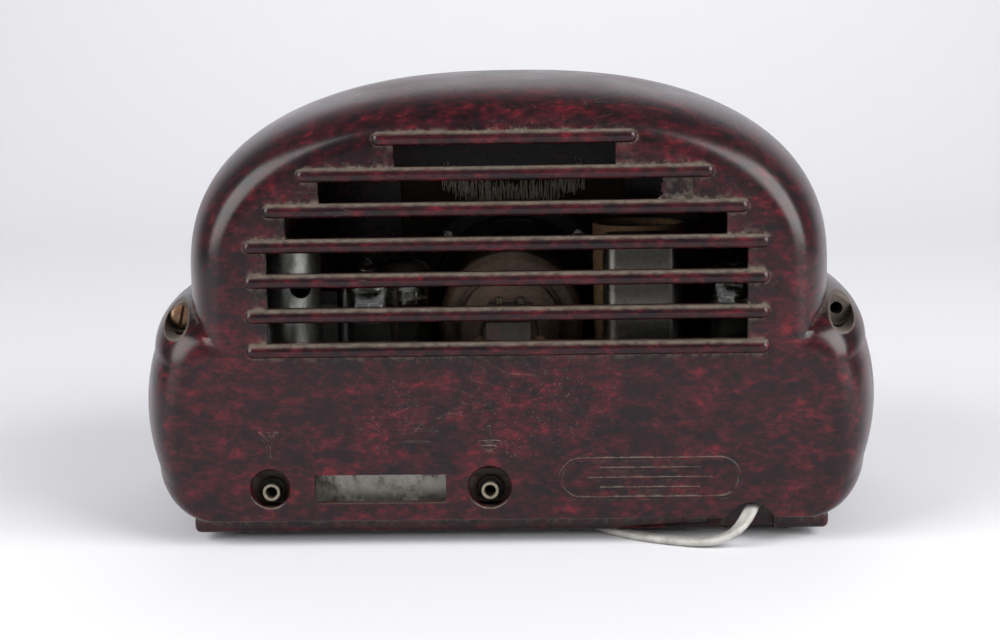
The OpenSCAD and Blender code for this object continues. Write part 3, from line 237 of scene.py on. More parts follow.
# The camera's place and angles were fitted to the photograph.
LENS_PIXELS, PICTURE_W, SENSOR = 1900.0, 1000.0, 36.0
CAMERA_AT = Vector((-0.0143, 0.71225, 0.1748))
PITCH, ROLL, YAW = (math.radians(a) for a in (8.68, 0.9, 1.5))
ahead = Vector((0, -math.cos(PITCH), -math.sin(PITCH)))
above = Vector((0, -math.sin(PITCH), math.cos(PITCH)))
beside = Vector((-1, 0, 0))
swing = Matrix.Rotation(YAW, 3, "Z")
ahead, above, beside = swing @ ahead, swing @ above, swing @ beside
across = math.cos(ROLL) * beside - math.sin(ROLL) * above
upward = math.sin(ROLL) * beside + math.cos(ROLL) * above
lens = bpy.data.cameras.new("camera")
lens.sensor_width, lens.lens, lens.clip_start = SENSOR, LENS_PIXELS * SENSOR / PICTURE_W, 0.01
camera = placed("camera", lens)
camera.matrix_world = Matrix.Translation(CAMERA_AT) @ Matrix((across, upward, -ahead)).transposed().to_4x4()
bpy.context.scene.camera = camera
bpy.context.scene.view_settings.view_transform = "Standard"

# Mains cord
# Flat twin cord with an off-white covering, two cores side by side. It leaves the notch at
# the rear, runs under the case and is wound up in front of it, where the case hides it.
PARTING = 6.25


def at(x, y, z):
    """A point given in millimetres, its depth counted from the parting plane of the case."""
    return Vector((x, y + PARTING, z)) / 1000


CORD_W, CORD_T = 5.0, 2.5
RUN = [
    (-85, 58, 14), (-85, 62, 14), (-84.4, 66, 13.6), (-83.2, 70.5, 12.5), (-81.3, 74.6, 10.4),
    (-78.8, 77.5, 7.6), (-75.4, 79, 4.9), (-71, 79, 2.9), (-65.6, 77.8, 1.8), (-59.5, 75.6, 1.4),
    (-53, 72.6, 1.3), (-46.5, 68.8, 1.3), (-40.4, 64.2, 1.3), (-34.9, 58.8, 1.3), (-30.2, 52.5, 1.3),
    (-26.3, 45.4, 1.3), (-23.2, 37.5, 1.3), (-20.8, 28.6, 1.3), (-19.2, 19, 1.3), (-18.2, 8, 1.3),
    (-17.8, -5, 1.3), (-17.8, -20, 1.3), (-17.8, -36, 1.3), (-17.8, -52, 1.3), (-17.8, -66, 1.35),
    (-17.8, -79, 1.5), (-17.8, -91, 1.8), (-17.8, -102, 2.1), (-17.8, -110, 2.25)]
COIL_AT, COIL_OUTER, COIL_PITCH, COIL_LOW, COIL_CLIMB = (20, -128), 37.8, 5.6, 2.25, 3.1
COIL_STEPS, COIL_RINGS, COIL_LEAD = 150, 24, 9
PLUG_FACE, PLUG_Z, TAIL_L, TAIL_R, TAIL_IN, TAIL_STEPS = 71, 7, 46, 54, 5, 8


def coil_point(i):
    """A point of the coil, which winds in, climbs and winds out again."""
    turn = math.radians(180 + 360 * i / COIL_RINGS)
    radius = COIL_OUTER - COIL_PITCH * min(i, COIL_STEPS - i) / COIL_RINGS
    rise = (i - (COIL_STEPS - COIL_RINGS / 2) / 2) / (COIL_RINGS / 2)
    return (COIL_AT[0] + radius * math.cos(turn), COIL_AT[1] + radius * math.sin(turn),
            COIL_LOW + COIL_CLIMB * min(1, max(0, rise)))


def tail_point(s):
    """A point of the tail, which bends aside and lifts from the coil to the plug."""
    half, u = TAIL_L / 2, s / TAIL_L
    if s < half:
        side = s * s / (2 * TAIL_R)
    else:
        side = (TAIL_L ** 2 / 2 - (TAIL_L - s) ** 2) / (2 * TAIL_R)
    end = coil_point(COIL_STEPS)
    return (end[0] + s, end[1] + side, end[2] + (PLUG_Z - end[2]) * u * u * (3 - 2 * u))


coil_start = coil_point(0)
coil_line = [(coil_start[0], coil_start[1] + COIL_LEAD, coil_start[2])]
coil_line += [coil_point(i) for i in range(COIL_STEPS + 1)]
coil_line += [tail_point(TAIL_L * i / TAIL_STEPS) for i in range(1, TAIL_STEPS + 1)]
plug_y = tail_point(TAIL_L)[1]
coil_line += [(PLUG_FACE + TAIL_IN, plug_y, PLUG_Z)]
cord_line = [at(*p) for p in RUN + coil_line]


def finer(line, parts):
    """Catmull-Rom points between those of a line."""
    made = []
    for i in range(len(line) - 1):
        a, b, c, d = (line[max(0, min(len(line) - 1, i + k))] for k in (-1, 0, 1, 2))
        for k in range(parts):
            t = k / parts
            made.append(0.5 * ((2 * b) + (c - a) * t + (2 * a - 5 * b + 4 * c - d) * t ** 2
                               + (3 * b - a - 3 * c + d) * t ** 3))
    return made + [line[-1]]


def swept(bm, line, section, level=Vector((0, 0, 1))):
    """Skins rings of a flat section along a line, closed at both ends."""
    rings = []
    for i, here in enumerate(line):
        along = (line[min(i + 1, len(line) - 1)] - line[max(i - 1, 0)]).normalized()
        side = along.cross(level).normalized()
        up = side.cross(along)
        ring = [bm.verts.new(here + side * p[0] + up * p[1]) for p in section]
        rings.append([bm.edges.new((ring[k], ring[(k + 1) % len(ring)])) for k in range(len(ring))])
        if i in (0, len(line) - 1):
            bm.faces.new(ring)
    for first, second in zip(rings, rings[1:]):
        bmesh.ops.bridge_loops(bm, edges=first + second)
    bmesh.ops.recalc_face_normals(bm, faces=bm.faces)


core_r, core_x = CORD_T / 2, (CORD_W - CORD_T) / 2
core = [(core_x + core_r * math.cos(a), core_r * math.sin(a))
        for a in (math.radians(d) for d in range(-105, 106, 30))]
twin = [(side * x / 1000, side * y / 1000) for side in (1, -1) for x, y in core]
bm = bmesh.new()
swept(bm, finer(cord_line, 2), twin)
covering = Finish("cord_covering")
grime = covering.noise(90, 4, 0.6)
tint = covering.ramp(grime, (0.33, (0.21, 0.195, 0.17)), (0.60, (0.40, 0.388, 0.365)))
cord = piece_from(bm, "mains_cord", covering.surface(
    Base_Color=tint, Roughness=covering.step(grime, 0.2, 0.8) * -0.2 + 0.55,
    Normal=covering.bump(covering.noise(700, 3), 0.0003, 0.4)))
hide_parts("cord_run", "cord_coil")
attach(cord, "radio")

# Case
# Two deep halves moulded in mottled maroon bakelite, parted in the middle of the depth.
# A tall dome stands between the round shoulders of a wider lower body, and draws in to flat faces.
CASE_W, CASE_H, CASE_D, DOME_W, WALL = 261.2, 160, 150, 227.4, 4
SHOULDER_H, SHOULDER_R, LOWER_R, BULGE, DRAW_IN = 86, 19, 21, 3.2, 20
FOOT_H, BELLY_H, PLINTH_W, PLINTH_D, PLINTH_WALL, PLINTH_SINK = 3, 7, 220, 132, 6, 2.5
FOOT_X, FOOT_Y, PAD_R = PLINTH_W / 2 - 14, PLINTH_D / 2 - 16, 6.5
DOME_POWER, DEPTH_POWER, DOME_SPRING, DOME_ROOT, DOME_STEPS = 2.42, 2.6, 92, 45, 48
EASE, BELLY_DRAW, GROOVE = 0.65, 0.15, 0.7
HALF_D, INNER_Y = CASE_D / 2, CASE_D / 2 - WALL
BAR_PITCH, BAR_H, BAR_PROUD, TOP_BAR_Z, SLOT_SHORT = 11.83, 4.6, 3.5, 139.7, 7
BAR_NOSE = HALF_D + BAR_PROUD
REAR_BARS = (44, 69.5, 81, 88, 88, 88, 88)
FRONT_BARS, FRONT_BAR_DROP, FRONT_SLOT_REACH = (81, 88, 88, 88, 88, 88, 88), 2, 34
BOSS_X, BOSS_Z, BOSS_R, RECESS_R, RECESS_Y, SCREW_R = CASE_W / 2 - 16.2, 77.2, 7, 5, HALF_D - 27, 1.9
CONTROL_X, CONTROL_Z = 80.5, 22


def arc(x, z, r, start, end, steps):
    """Points on a round, from one angle to another."""
    turns = [math.radians(start + (end - start) * i / steps) for i in range(steps + 1)]
    return [(x + r * math.cos(t), z + r * math.sin(t)) for t in turns]


def both_sides(half):
    """An outline from its right half, the left one mirrored."""
    return half + [(-x, z) for x, z in reversed(half) if x > 1e-6]


def dome_outline(draw, wall):
    """The dome, drawn in and less the wall."""
    a, b = DOME_W / 2 - draw - wall, CASE_H - DOME_SPRING - draw - wall
    half = []
    for i in range(DOME_STEPS + 1):
        t = math.radians(90 * (1 - i / DOME_STEPS))
        half.append((a * max(0, math.cos(t)) ** (2 / DOME_POWER),
                     DOME_SPRING + b * math.sin(t) ** (2 / DOME_POWER)))
    return both_sides(half + [(a, DOME_ROOT + 20), (a, DOME_ROOT)])


def body_outline(draw, wall):
    """The wider lower body with its round shoulders, drawn in and less the wall."""
    upper_z = SHOULDER_H - SHOULDER_R - (1 - EASE) * draw
    upper_x = CASE_W / 2 - BULGE - SHOULDER_R - (1 - EASE) * draw
    lower_z = BELLY_H + BELLY_DRAW * draw + LOWER_R - EASE * draw
    lower_x = CASE_W / 2 - BULGE - LOWER_R - (1 - EASE) * draw
    flank = CASE_W / 2 - draw - wall
    half = arc(upper_x, upper_z, SHOULDER_R - EASE * draw - wall, 90, 0, 16)
    for i in range(1, 12):
        u = 1 - i / 6
        half.append((flank - BULGE * u * u, (upper_z + lower_z) / 2 + u * (upper_z - lower_z) / 2))
    half += arc(lower_x, lower_z, LOWER_R - EASE * draw - wall, 0, -90, 16)
    return both_sides(half)


def pillow(outline, wall, depth, start, side, rings=22):
    """A block with the case's outline, drawn in round towards its flat face."""
    steps = list(start)
    for i in range(1, rings + 1):
        t = math.radians(90 * i / rings)
        steps.append((depth * math.sin(t) ** (2 / DEPTH_POWER),
                      DRAW_IN * (1 - max(0, math.cos(t)) ** (2 / DEPTH_POWER))))
    bm = bmesh.new()
    loops = []
    for k, (y, draw) in enumerate(steps):
        ring = [bm.verts.new(at(x, side * y, z)) for x, z in outline(draw, wall)]
        loops.append([bm.edges.new((ring[i - 1], ring[i])) for i in range(len(ring))])
        if k in (0, len(steps) - 1):
            bm.faces.new(ring)
    for first, second in zip(loops, loops[1:]):
        bmesh.ops.bridge_loops(bm, edges=first + second)
    bmesh.ops.recalc_face_normals(bm, faces=bm.faces)
    return piece_from(bm, "pillow")


def round_off(bm, edges, reach, segments, clamp=False):
    """Rounds edges; the reach is in millimetres."""
    bmesh.ops.bevel(bm, geom=edges, offset=reach / 1000, segments=segments, profile=0.5,
                    affect="EDGES", material=-1, clamp_overlap=clamp)


def box_tool(low, high, bevel=0.0, corners=4):
    """A block between two corners, given in millimetres, with its edges rounded."""
    bm = bmesh.new()
    bmesh.ops.create_cube(bm, size=1)
    low, high = at(*low), at(*high)
    low, high = Vector(map(min, low, high)), Vector(map(max, low, high))
    bmesh.ops.scale(bm, verts=bm.verts, vec=high - low)
    bmesh.ops.translate(bm, verts=bm.verts, vec=(low + high) / 2)
    if bevel:
        round_off(bm, bm.edges, bevel, corners)
    return piece_from(bm, "block")


def rod_tool(x, z, y0, y1, r, sides=48):
    """A rod along the depth."""
    bm = bmesh.new()
    bmesh.ops.create_cone(bm, cap_ends=True, segments=sides, radius1=r / 1000, radius2=r / 1000,
                          depth=abs(y1 - y0) / 1000)
    bmesh.ops.rotate(bm, verts=bm.verts, matrix=Matrix.Rotation(math.pi / 2, 3, "X"))
    bmesh.ops.translate(bm, verts=bm.verts, vec=at(x, (y0 + y1) / 2, z))
    return piece_from(bm, "rod")


def post_tool(x, y, z0, z1, r, sides=48):
    """A rod that stands upright."""
    bm = bmesh.new()
    bmesh.ops.create_cone(bm, cap_ends=True, segments=sides, radius1=r / 1000, radius2=r / 1000,
                          depth=(z1 - z0) / 1000)
    bmesh.ops.translate(bm, verts=bm.verts, vec=at(x, y, (z0 + z1) / 2))
    return piece_from(bm, "post")


def bar_tool(reach, z, side):
    """A louvre bar: round nose and ends, straight back into the wall."""
    r, back = BAR_H / 2000, (BAR_NOSE - INNER_Y - 0.3 - BAR_H / 2) / 1000
    bm = bmesh.new()
    for end in (-1, 1):
        nose = Matrix.Translation((end * (reach / 1000 - r), 0, 0))
        bmesh.ops.create_uvsphere(bm, u_segments=32, v_segments=16, radius=r, matrix=nose)
        rear = nose @ Matrix.Translation((0, -side * back, 0)) @ Matrix.Rotation(math.pi / 2, 4, "X")
        bmesh.ops.create_circle(bm, segments=32, radius=r, matrix=rear)
    bmesh.ops.delete(bm, geom=bm.faces[:] + bm.edges[:], context="EDGES_FACES")
    hull = bmesh.ops.convex_hull(bm, input=bm.verts[:], use_existing_faces=False)
    inside = verts_in({*hull["geom_interior"], *hull["geom_unused"]})
    bmesh.ops.delete(bm, geom=inside, context="VERTS")
    bmesh.ops.dissolve_limit(bm, angle_limit=0.002, verts=bm.verts, edges=bm.edges)
    bmesh.ops.translate(bm, verts=bm.verts, vec=at(0, side * (BAR_NOSE - BAR_H / 2), z))
    bmesh.ops.recalc_face_normals(bm, faces=bm.faces)
    return piece_from(bm, "bar")


def combine(base, *tools, operation="DIFFERENCE"):
    """Adds, cuts or keeps what the tools cover, and clears the tools away."""
    for tool in tools:
        change = base.modifiers.new("shape", "BOOLEAN")
        change.operation, change.solver, change.object = operation, "MANIFOLD", tool
    graph = bpy.context.evaluated_depsgraph_get()
    shaped = bpy.data.meshes.new_from_object(base.evaluated_get(graph))
    base.modifiers.clear()
    base.data = shaped
    for tool in tools:
        bpy.data.objects.remove(tool)
    return base


def soften(points, reach, steps=3, closed=False):
    """Rounds the corners of a chain of points."""
    made = []
    for i, p in enumerate(points):
        if not closed and i in (0, len(points) - 1):
            made.append(tuple(p))
            continue
        before, here, after = Vector(points[i - 1]), Vector(p), Vector(points[(i + 1) % len(points)])
        back, on = before - here, after - here
        start = here + back.normalized() * min(reach, back.length / 2.2)
        end = here + on.normalized() * min(reach, on.length / 2.2)
        for k in range(steps + 1):
            t = k / steps
            made.append(tuple(start * (1 - t) ** 2 + here * (2 * t * (1 - t)) + end * t ** 2))
    return made


def turned(name, material, place, points, axis="Y", reach=0.3, sides=64, smooth_under=35):
    """A turned piece from (radius, distance along the axis) points, its edges rounded."""
    ring = points[0][0] > 0 and points[-1][0] > 0
    chain = soften(points, reach, closed=ring)
    bm = bmesh.new()
    verts = [bm.verts.new((r / 1000, 0, along / 1000)) for r, along in chain]
    edges = [bm.edges.new(pair) for pair in zip(verts, verts[1:])]
    if ring:
        edges.append(bm.edges.new((verts[-1], verts[0])))
    bmesh.ops.spin(bm, geom=verts + edges, cent=(0, 0, 0), axis=(0, 0, 1), angle=2 * math.pi,
                   steps=sides, use_merge=True)
    bmesh.ops.remove_doubles(bm, verts=bm.verts, dist=1e-7)
    bmesh.ops.recalc_face_normals(bm, faces=bm.faces)
    turn = {"X": Matrix.Rotation(math.pi / 2, 3, "Y"), "Y": Matrix.Rotation(-math.pi / 2, 3, "X"),
            "Z": Matrix.Identity(3)}[axis]
    bmesh.ops.rotate(bm, verts=bm.verts, matrix=turn)
    bmesh.ops.translate(bm, verts=bm.verts, vec=at(*place))
    return piece_from(bm, name, material, smooth_under)


def half_case(side):
    """One half before its openings are cut, and the room that its hollow takes."""
    lip = [(0, GROOVE), (GROOVE, 0)]
    sunk, inner_w, inner_d = BELLY_H + PLINTH_SINK, PLINTH_W / 2 - PLINTH_WALL, PLINTH_D / 2 - PLINTH_WALL
    shell = pillow(dome_outline, 0, HALF_D, lip, side)
    plinth = box_tool((-PLINTH_W / 2, 0, FOOT_H), (PLINTH_W / 2, side * PLINTH_D / 2, sunk), 2.2)
    pads = [post_tool(s * FOOT_X, side * FOOT_Y, FOOT_H, sunk, PAD_R) for s in (-1, 1)]
    combine(plinth, box_tool((-inner_w, -side, 0), (inner_w, side * inner_d, BELLY_H + 3)))
    combine(shell, pillow(body_outline, 0, HALF_D, lip, side), plinth, *pads, operation="UNION")
    room = pillow(dome_outline, WALL, INNER_Y, [(-1, 0)], side)
    combine(room, pillow(body_outline, WALL, INNER_Y, [(-1, 0)], side), operation="UNION")
    return shell, room


def slot_tools(reaches, top, side):
    """Cutters for the slots between the bars of a grille."""
    return [box_tool((-reach, side * (INNER_Y - 2), top - (i + 1) * BAR_PITCH + BAR_H / 2 - 0.1),
                     (reach, side * (BAR_NOSE + 1), top - i * BAR_PITCH - BAR_H / 2 + 0.1))
            for i, reach in enumerate(reaches)]


def bars(reaches, top, side):
    """The bars of a grille, from the top one down."""
    return [bar_tool(reach, top - i * BAR_PITCH, side) for i, reach in enumerate(reaches)]


def mottled_bakelite(name, dust=1.0, own=True):
    """Maroon and black mottled phenolic with old dust in its corners and on what faces up."""
    f = Finish(name)
    clouds = f.noise(190, 4, 0.62, stretch=(0.7, 1, 1.15), warp=0.3)
    streaks = f.noise(480, 3, 0.6, stretch=(0.6, 1, 1.2), warp=0.35)
    mottle = clouds * 0.5 + streaks * 0.32 + f.noise(38, 3, 0.5) * 0.18
    colour = f.ramp(mottle, (0.41, (0.004, 0.0018, 0.003)), (0.49, (0.015, 0.0022, 0.004)),
                    (0.56, (0.034, 0.0035, 0.006)), (0.67, (0.105, 0.007, 0.011)))
    film = f.noise(20, 5, 0.7)
    patchy = f.step(f.noise(300, 5, 0.8), 0.36, 0.62)
    speckle = f.step(f.noise(1100, 3, 0.7), 0.60, 0.70) * f.step(film, 0.45, 0.7)
    scratch = f.noise(34, 3, 0.6, stretch=(0.35, 1, 2.6), warp=0.8)
    scratch = f.step((scratch - 0.5).math("ABSOLUTE"), 0.0035, 0.001) * f.step(f.noise(14, 2), 0.62, 0.70)
    colour = f.mix((speckle * 0.3).math("MAXIMUM", scratch * 0.18), colour, (0.17, 0.145, 0.125))
    reach, up = f.along("Y"), f.facing_up()
    proud = f.step((reach - PARTING / 1000).math("ABSOLUTE"), (HALF_D - 0.9) / 1000, (HALF_D - 0.5) / 1000)
    corner = f.step(f.crevice(0.0055, own=own) + (patchy - 0.5) * 0.26, 0.27, 0.58)
    ledge = f.step(up, 0.94, 0.999) * (f.step(f.noise(60, 4, 0.7), 0.25, 0.75) * 0.16 + 0.05)
    shelf = proud * f.step(up + (patchy - 0.5) * 0.06, 0.42, 0.98) * 0.9
    # Inside the screw recesses the colour is lifted to a dust tone: partly real dirt on the ledge, partly
    # painted light on a recess that lies in shade.
    across = (f.along("X").math("ABSOLUTE") - BOSS_X / 1000) ** 2
    rise = (f.along("Z") - BOSS_Z / 1000) ** 2
    rim = f.step((across + rise) ** 0.5, (RECESS_R + 0.9) / 1000, (RECESS_R + 0.1) / 1000)
    worn = rim * f.step(reach, 0.01, 0.02)
    dirt = corner.math("MAXIMUM", ledge).math("MAXIMUM", shelf).math("MAXIMUM", worn * 0.8) * dust
    colour = f.mix(dirt, colour, f.mix(patchy, (0.072, 0.058, 0.046), (0.135, 0.111, 0.086)))
    rough = f.step(film, 0.3, 0.75) * 0.10 + 0.225 + dirt * 0.42
    scuffs = f.bump(f.noise(900, 2), 0.00006, 0.25)
    return f.surface(Base_Color=colour, Roughness=rough, Specular_IOR_Level=0.33,
                     Normal=f.bump(dirt * patchy, 0.00015, 0.5, scuffs))


def funnel(x, z, r):
    """A cutter for a hole in the rear face, with an eased outer edge."""
    return turned("funnel", None, (x, 0, z), [
        (0, INNER_Y - 2), (r, INNER_Y - 2), (r, HALF_D - 0.7), (r + 0.5, HALF_D), (r + 1.2, HALF_D + 0.4),
        (r + 1.2, BAR_NOSE), (0, BAR_NOSE)], reach=0.2, sides=72)


LINE_ROUND = 0.28


def ridge(x0, z0, x1, z1, thick=1.0):
    """A raised line on the rear face, rounded along its edges."""
    bm = bmesh.new()
    bmesh.ops.create_cube(bm, size=1)
    bmesh.ops.scale(bm, verts=bm.verts, vec=(math.hypot(x1 - x0, z1 - z0) / 1000, 0.0016, thick / 1000))
    round_off(bm, bm.edges, LINE_ROUND, 3)
    bmesh.ops.rotate(bm, verts=bm.verts, matrix=Matrix.Rotation(-math.atan2(z1 - z0, x1 - x0), 3, "Y"))
    bmesh.ops.translate(bm, verts=bm.verts, vec=at((x0 + x1) / 2, HALF_D - 0.2, (z0 + z1) / 2))
    return piece_from(bm, "ridge")


def thickened(outline, way):
    """A closed block from a flat outline that is pushed along a way."""
    bm = bmesh.new()
    face = bm.faces.new([bm.verts.new(point) for point in outline])
    raised = bmesh.ops.extrude_face_region(bm, geom=[face])["geom"]
    bmesh.ops.translate(bm, verts=verts_in(raised), vec=way)
    bmesh.ops.recalc_face_normals(bm, faces=bm.faces)
    return bm


def pill(x, z, w, h, y0, y1):
    """A block along the depth with round ends."""
    outline = arc(x + (w - h) / 2, z, h / 2, 90, -90, 16) + arc(x - (w - h) / 2, z, h / 2, -90, -270, 16)
    bm = thickened([at(px, y0, pz) for px, pz in outline], (0, (y1 - y0) / 1000, 0))
    rims = [e for e in bm.edges if abs(e.verts[0].co.y - e.verts[1].co.y) < 1e-6]
    round_off(bm, rims, LINE_ROUND, 3)
    return piece_from(bm, "pill")


rear_cover, room = half_case(1)
bosses = [rod_tool(s * BOSS_X, BOSS_Z, -2, RECESS_Y + 3, BOSS_R) for s in (-1, 1)]
combine(room, *bosses, box_tool((-95, 46, 0), (-75, 60, BELLY_H + 5.4)))
combine(rear_cover, room)
AERIAL_X, EARTH_X, HOLE_Z, NOTCH_X, NOTCH_R, NOTCH_Z = 81.7, 6.6, 20.8, -82, 9, 5.7
WINDOW_X, WINDOW_HALF, WINDOW_LOW, WINDOW_HIGH = 44, 22.5, 15.5, 25.5
cuts = slot_tools([r - SLOT_SHORT for r in REAR_BARS[:-1]], TOP_BAR_Z, 1)
cuts += [rod_tool(s * BOSS_X, BOSS_Z, -2, RECESS_Y + 1, SCREW_R + 0.3) for s in (-1, 1)]
cuts += [rod_tool(s * BOSS_X, BOSS_Z, RECESS_Y, BAR_NOSE, RECESS_R) for s in (-1, 1)]
cuts += [funnel(AERIAL_X, HOLE_Z, 6.6), funnel(EARTH_X, HOLE_Z, 7.1)]
cuts += [box_tool((WINDOW_X - WINDOW_HALF, INNER_Y - 2, WINDOW_LOW),
                  (WINDOW_X + WINDOW_HALF, BAR_NOSE, WINDOW_HIGH))]
cuts += [box_tool((NOTCH_X - NOTCH_R, 61, -1), (NOTCH_X + NOTCH_R, BAR_NOSE, NOTCH_Z)),
         rod_tool(NOTCH_X, NOTCH_Z, 61, BAR_NOSE, NOTCH_R)]
combine(rear_cover, *cuts)
combine(rear_cover, *bars(REAR_BARS, TOP_BAR_Z, 1), operation="UNION")

# A pill-shaped frame round three plain lines, and the marks of an aerial and of an earth
FRAME_X, FRAME_Z, FRAME_W, FRAME_H, RAISED, LINE_PITCH = -48, 23.5, 62, 14.6, HALF_D + 0.6, 3.4
AERIAL_MARK_Z, EARTH_MARK_Z, MAST, ARM, SLANT = HOLE_Z + 15.5, HOLE_Z + 17, 4.5, 5.4, math.radians(35)
ring = pill(FRAME_X, FRAME_Z, FRAME_W, FRAME_H, HALF_D - 1, RAISED)
combine(ring, pill(FRAME_X, FRAME_Z, FRAME_W - 2, FRAME_H - 2, HALF_D - 2, RAISED + 1))
marks = [ring]
for i in (-1, 0, 1):
    z, reach = FRAME_Z + LINE_PITCH * i, FRAME_W / 2 - 10 - 4 * abs(i)
    marks.append(ridge(FRAME_X - reach, z, FRAME_X + reach, z))
marks.append(ridge(AERIAL_X, AERIAL_MARK_Z - MAST, AERIAL_X, AERIAL_MARK_Z + MAST))
for side in (-1, 1):
    arm_x, arm_z = AERIAL_X + side * ARM * math.sin(SLANT), AERIAL_MARK_Z + ARM * math.cos(SLANT)
    marks.append(ridge(AERIAL_X, AERIAL_MARK_Z, arm_x, arm_z))
marks.append(ridge(EARTH_X, EARTH_MARK_Z - 1, EARTH_X, EARTH_MARK_Z + MAST))
for i in range(3):
    z, reach = EARTH_MARK_Z - 1.8 * i - 1.05, 3.6 - 1.2 * i
    marks.append(ridge(EARTH_X - reach, z, EARTH_X + reach, z, 0.9))

# A ragged web of moulding flash closes one end of the second slot
WEB_Z, WEB_T = TOP_BAR_Z - 1.5 * BAR_PITCH, 1.2
RAGGED = [(-64, 3.9), (-53.4, 3.9), (-52.2, 3.1), (-53.1, 2.2), (-51.9, 1.2), (-52.6, 0.1),
          (-51.8, -0.9), (-52.9, -1.8), (-51.5, -2.9), (-50.6, -3.9), (-64, -3.9)]
web = thickened([at(x, HALF_D - 3, WEB_Z + z) for x, z in soften(RAGGED, 0.5, 2, closed=True)],
                (0, WEB_T / 1000, 0))
combine(rear_cover, *marks, piece_from(web, "web"), operation="UNION")

SLIT_X, SLIT_LOW, SLIT_HIGH = 40, 15.5, 25.5
POSTS_Y, POST_X, POST_TOP = (-40, -20), 88, 32
SPEAKER_R, SPEAKER_Z, RIM_Y = 40, 66.5, -66
FRONT_TOP = TOP_BAR_Z - FRONT_BAR_DROP * BAR_PITCH
upper_z = TOP_BAR_Z - (FRONT_BAR_DROP + 2) * BAR_PITCH
upper_x = math.sqrt((SPEAKER_R - 3) ** 2 - (upper_z - SPEAKER_Z) ** 2)
lower = (SPEAKER_R - 3) * math.cos(math.radians(45))
speaker_posts = [(upper_x, upper_z), (-upper_x, upper_z),
                 (lower, SPEAKER_Z - lower), (-lower, SPEAKER_Z - lower)]
front_cover, room = half_case(-1)
bosses = [rod_tool(s * BOSS_X, BOSS_Z, -25, 2, BOSS_R) for s in (-1, 1)]
bosses += [post_tool(s * POST_X, y, 0, POST_TOP, 5) for s in (-1, 1) for y in POSTS_Y]
bosses += [rod_tool(x, z, -HALF_D, RIM_Y, 3.2) for x, z in speaker_posts]
combine(room, *bosses)
combine(front_cover, room)
cuts = slot_tools([FRONT_SLOT_REACH] * (len(FRONT_BARS) - 1), FRONT_TOP, -1)
cuts += [rod_tool(s * BOSS_X, BOSS_Z, -21, 2, SCREW_R + 0.1) for s in (-1, 1)]
cuts += [rod_tool(s * CONTROL_X, CONTROL_Z, -BAR_NOSE, 2 - INNER_Y, 4.5) for s in (-1, 1)]
cuts += [box_tool((-SLIT_X, -BAR_NOSE, SLIT_LOW), (SLIT_X, 2 - INNER_Y, SLIT_HIGH))]
combine(front_cover, *cuts)
combine(front_cover, *bars(FRONT_BARS, FRONT_TOP, -1), operation="UNION")
case_finish = mottled_bakelite("mottled_bakelite")
for half, name in ((rear_cover, "rear_cover"), (front_cover, "front_cover")):
    half.name = name + "_moulding"
    shade(half.data, 38)
    weigh = half.modifiers.new("even_shading", "WEIGHTED_NORMAL")
    weigh.keep_sharp = True
    dress(half, case_finish)
    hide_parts(name)
    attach(half, "radio")

# Case screw and feet
# A slotted steel screw, rusted brown, holds the halves together in the deep hole of one shoulder;
# the one in the other shoulder is lost. Four moulded rubber feet plug into the plinth.


def joined(name, *parts):
    """One object from several, each keeping its material."""
    bm = bmesh.new()
    materials = []
    for part in parts:
        own = part.data.materials[0]
        if own not in materials:
            materials.append(own)
        before = len(bm.faces)
        bm.from_mesh(part.data)
        bm.faces.ensure_lookup_table()
        for face in bm.faces[before:]:
            face.material_index = materials.index(own)
        bpy.data.objects.remove(part)
    mesh = bpy.data.meshes.new(name)
    bm.to_mesh(mesh)
    bm.free()
    for material in materials:
        mesh.materials.append(material)
    return placed(name, mesh)


def stands_for(piece, slot, *nodes, body="radio"):
    """Puts a piece in the place of solids, on the body that it rides on; the material slot is not used."""
    if nodes:
        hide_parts(*nodes)
    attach(piece, body)
    return piece


def block(material, low, high, bevel=0.25, corners=2):
    """A block with its finish."""
    return dress(box_tool(low, high, bevel, corners), material)


def screw_head(material, place, r, h, axis="Y", slot=0.9, turn=20, shank=None):
    """A cheese head with a saw cut across it, on a plain shank."""
    points = [(0, h), (r * 0.72, h * 0.98), (r, h * 0.72), (r, 0)]
    points += [(shank[0], 0), (shank[0], -shank[1]), (0, -shank[1])] if shank else [(0, 0)]
    head = turned("screw", material, place, points, axis, reach=h * 0.18, sides=40)
    bm = bmesh.new()
    bmesh.ops.create_cube(bm, size=1)
    bmesh.ops.scale(bm, verts=bm.verts, vec=(slot / 1000, r / 400, h / 1000))
    bmesh.ops.rotate(bm, verts=bm.verts, matrix=Matrix.Rotation(math.radians(turn), 3, "Z"))
    bmesh.ops.translate(bm, verts=bm.verts, vec=(0, 0, h * 1.05 / 1000))
    if axis == "Y":
        bmesh.ops.rotate(bm, verts=bm.verts, matrix=Matrix.Rotation(-math.pi / 2, 3, "X"))
    bmesh.ops.translate(bm, verts=bm.verts, vec=at(*place))
    combine(head, piece_from(bm, "saw_cut"))
    shade(head.data, 35)
    return dress(head, material)


def worn_metal(name, tone, grime, cover=0.4, rough=0.34, scale=70, own=True):
    """Bare or plated metal under cloudy tarnish, with grime that gathers in its corners; where own is False
    the corners also take in other parts close by, which paints shade between parts.
    """
    f = Finish(name)
    cloud = f.noise(scale, 5, 0.65, warp=0.4)
    fine = f.noise(scale * 9, 4, 0.7)
    # With own False this corner mask also darkens where other parts come close: painted shade between parts.
    corner = f.step(f.crevice(0.003, own=own), 0.25, 0.75)
    share = f.step(cloud * 0.65 + fine * 0.35, 0.70 - 0.35 * cover, 0.82 - 0.3 * cover)
    share = share.math("MAXIMUM", corner * 0.85)
    bare = f.mix(f.step(fine, 0.3, 0.7), tuple(c * 0.72 for c in tone), tone)
    return f.surface(
        Base_Color=f.mix(share, bare, grime), Metallic=share * -0.85 + 0.95,
        Roughness=share * 0.38 + rough + fine * 0.1,
        Normal=f.bump(fine + share * 0.5, 0.00005, 0.35))


